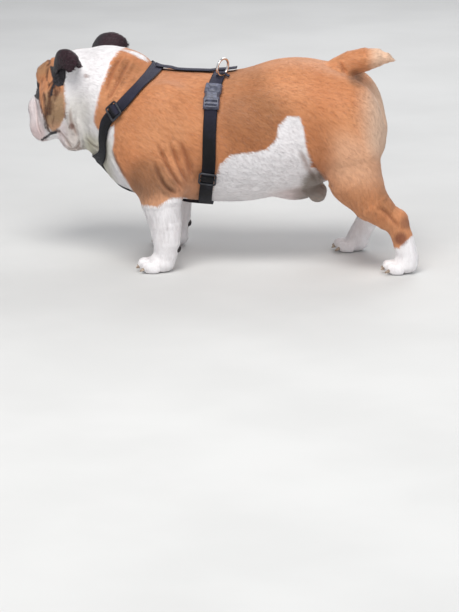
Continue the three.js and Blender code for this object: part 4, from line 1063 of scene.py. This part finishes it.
MARKS = {"deep": deep, **marks}
px, py, pz = verts.T
pf, ps, pu = to_head(px, py, pz)
on_face = smooth(pf, -40, 10)
low_leg = smooth(-pz, -130, -60)
on_sac = smooth(-melt(SCROTUM_FORMS, px, np.abs(py), pz), -4, 0)
furred = smooth(-marks["lips"], -0.2, 0.8) * (1 - 0.85 * on_sac)
furred *= smooth(pz, 4, 10)
furred *= 1 - smooth(-(nose_shape(pf, ps, pu) - 6), 0, 3)
TUFT_LENGTH = 7.0 - 2.8 * on_face - 2.6 * low_leg * (1 - on_face) - 1.8 * marks["ear"] * on_face
TUFT_WIDTH = 1.0 - 0.3 * on_face - 0.2 * low_leg * (1 - on_face)
# how many tufts each piece of coat has, and where they may grow
REGIONS = {
    "coat_head": (34000, smooth(pf, HEAD_END, HEAD_END + 1) * furred),
    "coat_neck": (22000, (pf < HEAD_END) * (px < NECK_END) * furred),
    "coat_fore": (30000, (pf < HEAD_END) * (px >= NECK_END) * (px < FORE_END) * furred),
    "coat_middle": (22000, (px >= FORE_END) * (px < MIDDLE_END) * furred),
    "coat_rear": (34000, (px >= MIDDLE_END) * furred),
}
for name, (count, chosen) in REGIONS.items():
    grow(name, count, chosen.astype(float), TUFT_LENGTH, TUFT_WIDTH)


# eyes, nose, claws and pads

TURNED = [0, 3, 2, 1]  # a quad's corners in the order that shows its other side


def tube_faces(rows, sides, closed=False):
    """The quads between rings of points; closed also joins the last ring to the first."""
    last = rows if closed else rows - 1
    i, j = (v.ravel() for v in np.meshgrid(np.arange(last), np.arange(sides), indexing="ij"))
    here, after, beside = i * sides, (i + 1) % rows * sides, (j + 1) % sides
    return np.stack([here + j, here + beside, after + beside, after + j], axis=1)


def ball(centre, axes, radii, rings=28, sides=40, swell=np.ones_like):
    """A round body whose pole points along the first of its axes, and each point's angle from that pole."""
    angle, turn = np.meshgrid(np.linspace(0, math.pi, rings), np.arange(sides) * 2 * math.pi / sides,
                              indexing="ij")
    angle, turn = angle.ravel(), turn.ravel()
    out = np.stack([np.cos(angle), np.sin(angle) * np.cos(turn), np.sin(angle) * np.sin(turn)], axis=1)
    points = centre + (out * np.asarray(radii) * np.reshape(swell(angle), (-1, 1))) @ np.asarray(axes)
    return points, tube_faces(rings, sides)[:, TURNED], angle


def merged(parts):
    """Several pairs of points and faces in one."""
    points, faces, start = [], [], 0
    for p, q in parts:
        points.append(p)
        faces.append(q + start)
        start += len(p)
    return np.vstack(points), np.vstack(faces)


eye_paint = Paint("eye", roughness=0.06, coat_weight=1.0, coat_roughness=0.02, specular_ior_level=0.6)
angle = eye_paint.attribute("angle")
iris = eye_paint.mottled(700, rgb(46, 26, 14), rgb(88, 52, 26))
eye_colour = eye_paint.mix(eye_paint.step(angle, 0.20, 0.24), rgb(6, 5, 5), iris)
eye_colour = eye_paint.mix(eye_paint.step(angle, 0.56, 0.66), eye_colour, rgb(20, 12, 10))
eye_colour = eye_paint.mix(eye_paint.step(angle, 0.74, 0.84), eye_colour, rgb(206, 184, 172))
eye_paint.put("Base Color", eye_colour)


def cornea(angle):
    """How much an eye swells at an angle from the way it looks."""
    return 1 + 0.05 * np.exp(-(angle / 0.5) ** 4)


for name, side in (("eye_left", 1), ("eye_right", -1)):
    points, faces, polar = ball(eye_centre(side), eye_axes(side), [EYE_RADIUS * 0.985] * 3, swell=cornea)
    eye = make_mesh(name + "_ball", points, faces, eye_paint, angle=polar)
    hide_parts(name)

NOSTRILS = [[(96, 5.5, -33, 1.8), (89, 8.5, -30, 3.8), (80, 12.5, -27, 3.4)],
            [(89, 8.5, -30, 2.6), (85, 15, -31, 1.9), (78, 21, -33, 1.2)]]
NOSE_GROOVE = [(92, 0, -48, 1.0), (89, 0, -24, 0.8)]


def nose_field(f, s, u):
    d = melt(NOSE_FORMS, f, np.abs(s), u)
    for stations in NOSTRILS:
        d = carved(d, limb(f, np.abs(s), u, stations), 2.5)
    return carved(d, limb(f, s, u, NOSE_GROOVE), 2)


def leather_paint(name, scale, strength, depth, **looks):
    """Pebbled skin without hair."""
    paint = Paint(name, **looks)
    pebbles = paint.node("TexVoronoi", {"Scale": scale, "Vector": paint.place()}).outputs["Distance"]
    paint.put("Normal", paint.bump(pebbles, strength, depth))
    return paint


nose_paint = leather_paint("nose_leather", 520.0, 0.6, 0.0012, roughness=0.42, specular_ior_level=0.5,
                           coat_weight=0.25, coat_roughness=0.3)
nose_paint.put("Base Color", nose_paint.mottled(90, rgb(26, 22, 23), rgb(44, 36, 36)))
NOSE_CELL = 0.9
points, faces = polygonize(nose_field, np.arange(52, 98, NOSE_CELL), np.arange(-30, 31, NOSE_CELL),
                           np.arange(-50, -5, NOSE_CELL))
nose = make_mesh("nose_leather", from_head(points), faces[:, ::-1], nose_paint)
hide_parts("nose")

horn_paint = Paint("claw_horn", roughness=0.38, coat_weight=0.15)
horn_paint.put("Base Color", horn_paint.mottled(160, rgb(196, 178, 158), rgb(142, 120, 104)))
horn_paint.put("Normal", horn_paint.bump(horn_paint.noise(1500, 2), 0.2, 0.0005))


def claw(place, toe):
    """A claw that leaves its toe forward and bends down, thinning to its tip."""
    px, py, size = place
    ahead, aside, high = toe
    out = math.copysign(1, py)
    rings, sides = 12, 14
    t = np.linspace(0, 1, rings)[:, None]
    start = np.array([px - (ahead + 5) * size, py + out * aside * size, (high - 2) * size])
    middle = start + np.hstack([-15.5 * t, 15 * out * aside * 0.02 * t, 1.2 * t - 5.4 * t * t])
    radius = 3.7 * np.sqrt(np.maximum(1 - t ** 2.2, 0.004))
    turn = np.arange(sides) * 2 * math.pi / sides
    ring = np.stack([0 * turn, 0.78 * np.cos(turn), 1.08 * np.sin(turn)], axis=1)
    points = (middle[:, None] + radius[:, None] * ring[None]).reshape(-1, 3)
    return points, tube_faces(rings, sides)


points, faces = merged([claw(place, toe) for place in PAWS.values() for toe in TOES.values()])
claws = make_mesh("claws", points, faces, horn_paint)
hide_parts(*[f"{paw}_claw_{toe}" for paw in PAWS for toe in TOES])

pad_paint = leather_paint("pad_leather", 800.0, 0.5, 0.001, roughness=0.6, specular_ior_level=0.4)
pad_paint.put("Base Color", pad_paint.mottled(120, rgb(30, 26, 27), rgb(52, 44, 44)))
for name, side in (("left", -1), ("right", 1)):
    points, faces, _ = ball(np.array([-81.5, side * 111, 44]), np.eye(3), (7.6, 8.6, 8.2), 16, 22)
    pad = make_mesh(f"carpal_pad_{name}_leather", points, faces, pad_paint)
    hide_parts(f"carpal_pad_{name}")


# harness: ribbons of webbing laid on the coat as in the solids

LOOP_HEIGHT = 250
NECK_LOOP = profile([(176, -262), (192, -242), (206, -229), (222, -223), (245, -223), (282, -214),
                     (308, -190), (345, -156), (363, -136), (374, -124)])
GIRTH_LOOP = profile([(112, -36), (180, -24), (214, -20.5), (269, -19.5), (330, -17), (350, -13), (366, -6)])
COAT_GAP = 1.2  # from the solids' surface to the webbing
OVER_GAP = 4.0  # the same where a piece lies over others
TAUT_GAP = 1.6  # the same while a path is worked out
WIDTH, THICK = 25.0, 2.0
RIBS = 11  # points across the webbing
NECK_SLIDER_AT, GIRTH_SLIDER_AT, RING_AT = 62, 122, 18  # degrees down from the middle of the back
BUCKLE_FROM, BUCKLE_TO = 34, 61
RING_BEHIND = 9  # mm from the girth webbing's middle back to the lead ring
RING_RADIUS, RING_THICK = 16, 4


def loop_path(side, x_at, start, stop, count):
    """Points on the skin along one side of a loop, from start to stop degrees down from the top."""
    angle = side * np.radians(np.linspace(start, stop, count))
    inside, outside = np.full(count, 10.0), np.full(count, 260.0)

    def at(r):
        z = LOOP_HEIGHT + r * np.cos(angle)
        return x_at(z), r * np.sin(angle), z

    for _ in range(26):
        middle = (inside + outside) / 2
        within = flesh(*at(middle)) < TAUT_GAP
        inside, outside = np.where(within, middle, inside), np.where(within, outside, middle)
    return np.stack(at(inside), axis=1)


def taut(path, rounds=160):
    """The path pulled tight: it bridges hollows and keeps to the skin elsewhere."""
    points = path.copy()
    for turn in range(rounds):
        if turn % 16 == 0:
            up = slope(flesh, points)
        rise = np.sum(((points[:-2] + points[2:]) / 2 - points[1:-1]) * up[1:-1], axis=1)
        points[1:-1] += up[1:-1] * np.maximum(rise, 0)[:, None] * 0.9
    return points


def pushed_out(points, lift):
    """The points, with those nearer the skin than lift moved out to it."""
    d = flesh(*points.T)
    low = d < lift
    if low.any():
        points = points.copy()
        points[low] = settle(flesh, points[low], np.broadcast_to(lift, d.shape)[low], 4)
    return points


def frame_along(path):
    """The ways across a path, up from the skin, and along."""
    up = slope(flesh, path)
    along = unit(np.gradient(path, axis=0))
    across = unit(np.cross(along, up))
    return across, np.cross(across, along), along


def finer(path, times=5):
    return catmull(path, (len(path) - 1) * times + 1)


def webbing(name, path, node, lift=COAT_GAP, lay=pushed_out):
    """A flat ribbon with rounded selvedges; it carries its own place across and along for the weave."""
    across, up, _ = frame_along(path)
    spread = np.linspace(-1, 1, RIBS)
    lower = path[:, None] + across[:, None] * spread[None, :, None] * WIDTH / 2
    lower = lay(lower.reshape(-1, 3), lift).reshape(lower.shape)
    edge = 0.5 * np.abs(spread) ** 12
    bottom = lower + up[:, None] * (THICK * edge * 0.7)[None, :, None]
    top = lower + up[:, None] * (THICK * (1 - edge * 0.7))[None, :, None]
    ring = np.concatenate([bottom, top[:, ::-1]], axis=1)
    rows, sides = ring.shape[:2]
    j = np.arange(RIBS - 1)
    ends = [np.stack([j + r, j + 1 + r, sides - 2 - j + r, sides - 1 - j + r], axis=1)[:, ::flip]
            for r, flip in ((0, -1), ((rows - 1) * sides, 1))]
    length = np.concatenate([[0], np.cumsum(np.linalg.norm(np.diff(path, axis=0), axis=1))])
    place = np.zeros((rows, sides, 3))
    place[..., 0] = np.concatenate([spread, spread[::-1]]) * WIDTH / 2
    place[..., 1] = length[:, None]
    place[..., 2] = np.repeat([0, 1], RIBS)
    faces = np.vstack([tube_faces(rows, sides), *ends])
    piece = make_mesh(name, ring.reshape(-1, 3), faces, web_paint, weave=place.reshape(-1, 3))
    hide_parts(node)


def webbing_paint(name):
    paint = Paint(name, roughness=0.6, sheen_weight=0.05, sheen_roughness=0.35, specular_ior_level=0.25)
    paint.shader.inputs["Sheen Tint"].default_value = (0.75, 0.8, 1.0, 1)
    split = paint.node("SeparateXYZ", {"Vector": paint.attribute("weave", True)})
    across, along = split.outputs[0], split.outputs[1]
    slant = paint.times(paint.math("ABSOLUTE", across), 0.9)
    rib = paint.math("SINE", paint.times(paint.plus(along, slant), 4.2))
    warp = paint.math("SINE", paint.times(across, 5.5))
    height = paint.plus(rib, paint.times(warp, 0.6))
    border = paint.step(paint.math("ABSOLUTE", across), 10.6, 11.2)
    worn = paint.noise(60, 4)
    # painted light: webbing facing up is lighter, as if lit from above, besides the lighter worn patches
    top = paint.node("SeparateXYZ", {"Vector": paint.node("NewGeometry").outputs["True Normal"]}).outputs[2]
    worn_and_lit = paint.plus(paint.step(worn, 0.45, 0.75, 0, 0.2), paint.step(top, 0.05, 0.75, 0, 0.62))
    dark = paint.mix(paint.step(height, -1.2, 1.4), rgb(4, 4, 6), rgb(13, 13, 17))
    dark = paint.mix(worn_and_lit, dark, rgb(58, 57, 78))
    dark = paint.mix(paint.times(border, 0.6), dark, rgb(12, 12, 16))
    paint.put("Base Color", dark)
    paint.put("Normal", paint.bump(height, 0.5, 0.0006, paint.bump(paint.noise(1800, 2), 0.2, 0.0004)))
    return paint


web_paint = webbing_paint("webbing")
for side, name in ((-1, "left"), (1, "right")):
    for loop, x_at, stop, count in (("neck", NECK_LOOP, 168, 24), ("girth", GIRTH_LOOP, 180, 25)):
        path = finer(taut(loop_path(side, x_at, 0, stop, count)))
        webbing(f"{loop}_webbing_{name}", path, f"{loop}_strap_{name}")


def midline(points, count, rounds, ends):
    """A path along the middle of the body, and its lift: ends at both ends, over the loops between."""
    path = settle(flesh, catmull(points, count), TAUT_GAP)
    path = finer(taut(path, rounds), 4)
    step = np.linalg.norm(np.diff(path, axis=0), axis=1).mean()
    from_end = np.minimum(np.arange(len(path)), len(path) - 1 - np.arange(len(path))) * step
    lift = OVER_GAP + (ends - OVER_GAP) * smooth(from_end, 30, 50)
    return pushed_out(path, lift), lift


def laid_on(points, lift):
    return settle(flesh, points, lift)


BACK_LINE = [(-134, 0, 366), (-60, 0, 366), (23, 0, 368)]
CHEST_LINE = [(-232, 0, 206), (-212, 0, 172), (-182, 0, 142), (-140, 0, 124), (-90, 0, 116), (-22, 0, 112)]
path, lift = midline(BACK_LINE, 12, 4, 1.4)
webbing("back_webbing", path, "back_strap", np.repeat(lift, RIBS), laid_on)
path, lift = midline(CHEST_LINE, 16, 160, COAT_GAP)
webbing("chest_webbing", path, "chest_strap", np.repeat(lift, RIBS))


# hardware set on the webbing

def seat(side, x_at, angle, lift):
    """A place on a loop: its middle, and the ways across, back along and up."""
    step = 3  # degrees between the points of the path
    path = taut(loop_path(side, x_at, 0, 180, 180 // step + 1))
    at = round(angle / step)
    up = slope(flesh, path[at:at + 1])[0]
    along = unit(path[at + 1] - path[at - 1])
    across = unit(np.cross(along, up))
    return path[at] + up * lift, np.array([across, np.cross(up, across), up])


def bar(path, wide, high, sides=14, closed=False):
    """A rounded bar along a path that lies in the plane of the first two axes."""
    path = np.asarray(path, float)
    along = np.roll(path, -1, 0) - np.roll(path, 1, 0) if closed else np.gradient(path, axis=0)
    across = np.cross(unit(along), (0, 0, 1))
    turn = np.arange(sides) * 2 * math.pi / sides
    c, s = np.cos(turn), np.sin(turn)
    flat = np.sign(c) * np.abs(c) ** 0.6, np.sign(s) * np.abs(s) ** 0.6
    points = (path[:, None] + across[:, None] * (flat[0] * wide / 2)[None, :, None]
              + np.array([0, 0, 1]) * (flat[1] * high / 2)[None, :, None])
    return points.reshape(-1, 3), tube_faces(len(path), sides, closed)[:, ::-1]


def rounded_frame(width, length, radius):
    """The outline of a frame with round corners, as a closed path."""
    corners, count = [], 10
    for quarter, (sx, sy) in enumerate(((1, 1), (-1, 1), (-1, -1), (1, -1))):
        turn = np.radians(np.linspace(0, 90, count) + 90 * quarter)
        middle = np.array([sx * (width / 2 - radius), sy * (length / 2 - radius)])
        corners.append(middle + radius * np.stack([np.cos(turn), np.sin(turn)], axis=1))
    flat = np.vstack(corners)
    return np.hstack([flat, np.zeros((len(flat), 1))])


def plastic_paint(name, light, dark, rough):
    paint = Paint(name, roughness=rough, specular_ior_level=0.5)
    scuff = paint.noise(140, 5, rough=0.7)
    grain = paint.noise(2600, 1)
    paint.put("Base Color", paint.mix(paint.step(scuff, 0.4, 0.75), dark, light))
    paint.put("Roughness", paint.step(scuff, 0.3, 0.8, rough - 0.1, rough + 0.15))
    paint.put("Normal", paint.bump(grain, 0.15, 0.0003))
    return paint


slider_paint = plastic_paint("slider_plastic", rgb(70, 72, 80), rgb(30, 31, 36), 0.45)
buckle_paint = plastic_paint("buckle_plastic", rgb(118, 121, 142), rgb(72, 74, 88), 0.45)


def slider(name, side, x_at, angle):
    """A three-bar slider, and the short tongue of webbing that rises through it."""
    middle, axes = seat(side, x_at, angle, 5.4)
    outer = rounded_frame(30.5, 23.5, 3.5)
    across = np.linspace(-14, 14, 12)[:, None]
    centre_bar = np.hstack([across, 0 * across, 0 * across])
    points, faces = merged([bar(outer, 3.6, 3.4, closed=True), bar(centre_bar, 4.0, 2.6)])
    piece = make_mesh(name + "_frame", middle + points @ axes, faces, slider_paint)
    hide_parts(name)
    reach = 9.4  # half the tongue's length
    y = np.linspace(-reach, reach, 25)
    rise = 1.6 + 0.9 * np.cos(np.clip(y / reach, -1, 1) * math.pi) - 3.2 * (np.abs(y) / reach) ** 4
    spread = np.linspace(-12.2, 12.2, 9)
    grid = np.stack(np.broadcast_arrays(spread[None, :], y[:, None], rise[:, None]), axis=-1)
    lower = grid - (0, 0, 1.5)
    ring = np.concatenate([lower, grid[:, ::-1]], axis=1)
    points = ring.reshape(-1, 3)
    tongue = make_mesh(name + "_tongue", middle + points @ axes, tube_faces(*ring.shape[:2]), web_paint,
                       weave=points)


slider("neck_slider_left", -1, NECK_LOOP, NECK_SLIDER_AT)
slider("neck_slider_right", 1, NECK_LOOP, NECK_SLIDER_AT)
slider("girth_slider_left", -1, GIRTH_LOOP, GIRTH_SLIDER_AT)


def between(value, low, high, soft):
    """1 from low to high, with soft ends."""
    return smooth(value, low - soft, low + soft) * (1 - smooth(value, high - soft, high + soft))


def buckle():
    """The side-release buckle: a slab bent along the girth webbing, its face shaped by steps and slots."""
    rows, cols = 73, 49
    path = catmull(taut(loop_path(-1, GIRTH_LOOP, BUCKLE_FROM, BUCKLE_TO, 6)), rows)
    across, up, _ = frame_along(path)
    a = np.linspace(-1, 1, cols)[None, :]
    b = np.linspace(0, 1, rows)[:, None]
    aside = np.abs(a)
    edge = smooth(1 - aside, 0, 0.16) ** 0.5 * smooth(b, 0, 0.06) ** 0.5 * smooth(1 - b, 0, 0.06) ** 0.5
    slots = between(b, 0.72, 0.79, 0.012) + between(b, 0.86, 0.93, 0.012)
    height = 7.4 * edge
    height = height - 2.4 * between(b, 0.40, 0.60, 0.015) * smooth(aside, 0.72, 0.78)
    height = height - 0.9 * between(aside, -1, 0.46, 0.02) * between(b, 0.14, 0.40, 0.012)
    height = height + 0.5 * between(aside, -1, 0.26, 0.03) * between(b, 0.20, 0.34, 0.02)
    height = height - 1.6 * between(b, 0.635, 0.65, 0.006)
    height = height - 4.6 * between(aside, -1, 0.70, 0.02) * slots
    half = 16.2 - 2.0 * between(b, 0.40, 0.60, 0.02) - 0.8 * smooth(b, 0.62, 0.66)
    base = path[:, None] + across[:, None] * (a * half)[..., None]
    top = base + up[:, None] * (3.9 + np.maximum(height, 0.2))[..., None]
    bottom = base + up[:, None] * 3.6
    sheet = tube_faces(rows, cols).reshape(rows - 1, cols, 4)[:, :-1].reshape(-1, 4)
    under = rows * cols
    rim = np.concatenate([np.arange(cols), np.arange(1, rows) * cols + cols - 1,
                          (rows - 1) * cols + np.arange(cols - 2, -1, -1), np.arange(rows - 2, 0, -1) * cols])
    after = np.roll(rim, -1)
    walls = np.stack([rim, rim + under, after + under, after], axis=1)
    points = np.concatenate([top.reshape(-1, 3), bottom.reshape(-1, 3)])
    return points, np.vstack([sheet[:, ::-1], sheet + under, walls[:, ::-1]])


points, faces = buckle()
piece = make_mesh("buckle_shell", points, faces, buckle_paint)
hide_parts("buckle_left")

# the lead ring, in the place of its solid, and the short webbing that holds it

ring_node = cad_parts["lead_ring"]
ring_points = np.array([v.co for v in ring_node.data.vertices]) * 1000 - (SHIFT, 0, 0)
ring_middle = ring_points.mean(axis=0)
ring_axes = np.linalg.svd(ring_points - ring_middle, full_matrices=False)[2]
steel_paint = Paint("ring_steel", metallic=1.0, roughness=0.22)
steel = steel_paint.mottled(220, (0.92, 0.92, 0.91), (0.74, 0.74, 0.74), 0.35, detail=4)
steel_paint.put("Base Color", steel)
steel_paint.put("Normal", steel_paint.bump(steel_paint.noise(500, 3), 0.12, 0.0004))
turn = np.linspace(0, 2 * math.pi, 73)[:-1]
circle = RING_RADIUS * np.stack([np.cos(turn), np.sin(turn), 0 * turn], axis=1)
points, faces = bar(circle, RING_THICK, RING_THICK, 16, closed=True)
steel_ring = make_mesh("steel_ring", ring_middle + points @ ring_axes, faces, steel_paint)
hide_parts("lead_ring")

middle, axes = seat(-1, GIRTH_LOOP, RING_AT, 2.4)
middle = middle - axes[0] * RING_BEHIND
across = np.linspace(-12.5, 12.5, 41)
bump = 5.2 * np.exp(-(across / 6.5) ** 4)
section = [(-4, 0.0), (-4, 1.2), (-3.6, 1.5), (3.6, 1.5), (4, 1.2), (4, 0.0)]
ring = np.array([[(x, y, h + b) for y, h in section] for x, b in zip(across, bump)])
weave = ring[..., [1, 0, 2]] * (2.5, 1, 1)
keeper = make_mesh("keeper_webbing", middle + ring.reshape(-1, 3) @ axes,
                   tube_faces(*ring.shape[:2])[:, TURNED], web_paint, weave=weave.reshape(-1, 3))
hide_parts("ring_keeper")


# floor

floor_paint = Paint("floor", roughness=0.9)
floor_paint.put("Base Color", floor_paint.mottled(3, (0.62, 0.62, 0.61), (0.66, 0.66, 0.65)))
bpy.ops.mesh.primitive_plane_add(size=30)
floor = bpy.context.object
floor.name = "floor"
floor.data.materials.append(floor_paint.material)
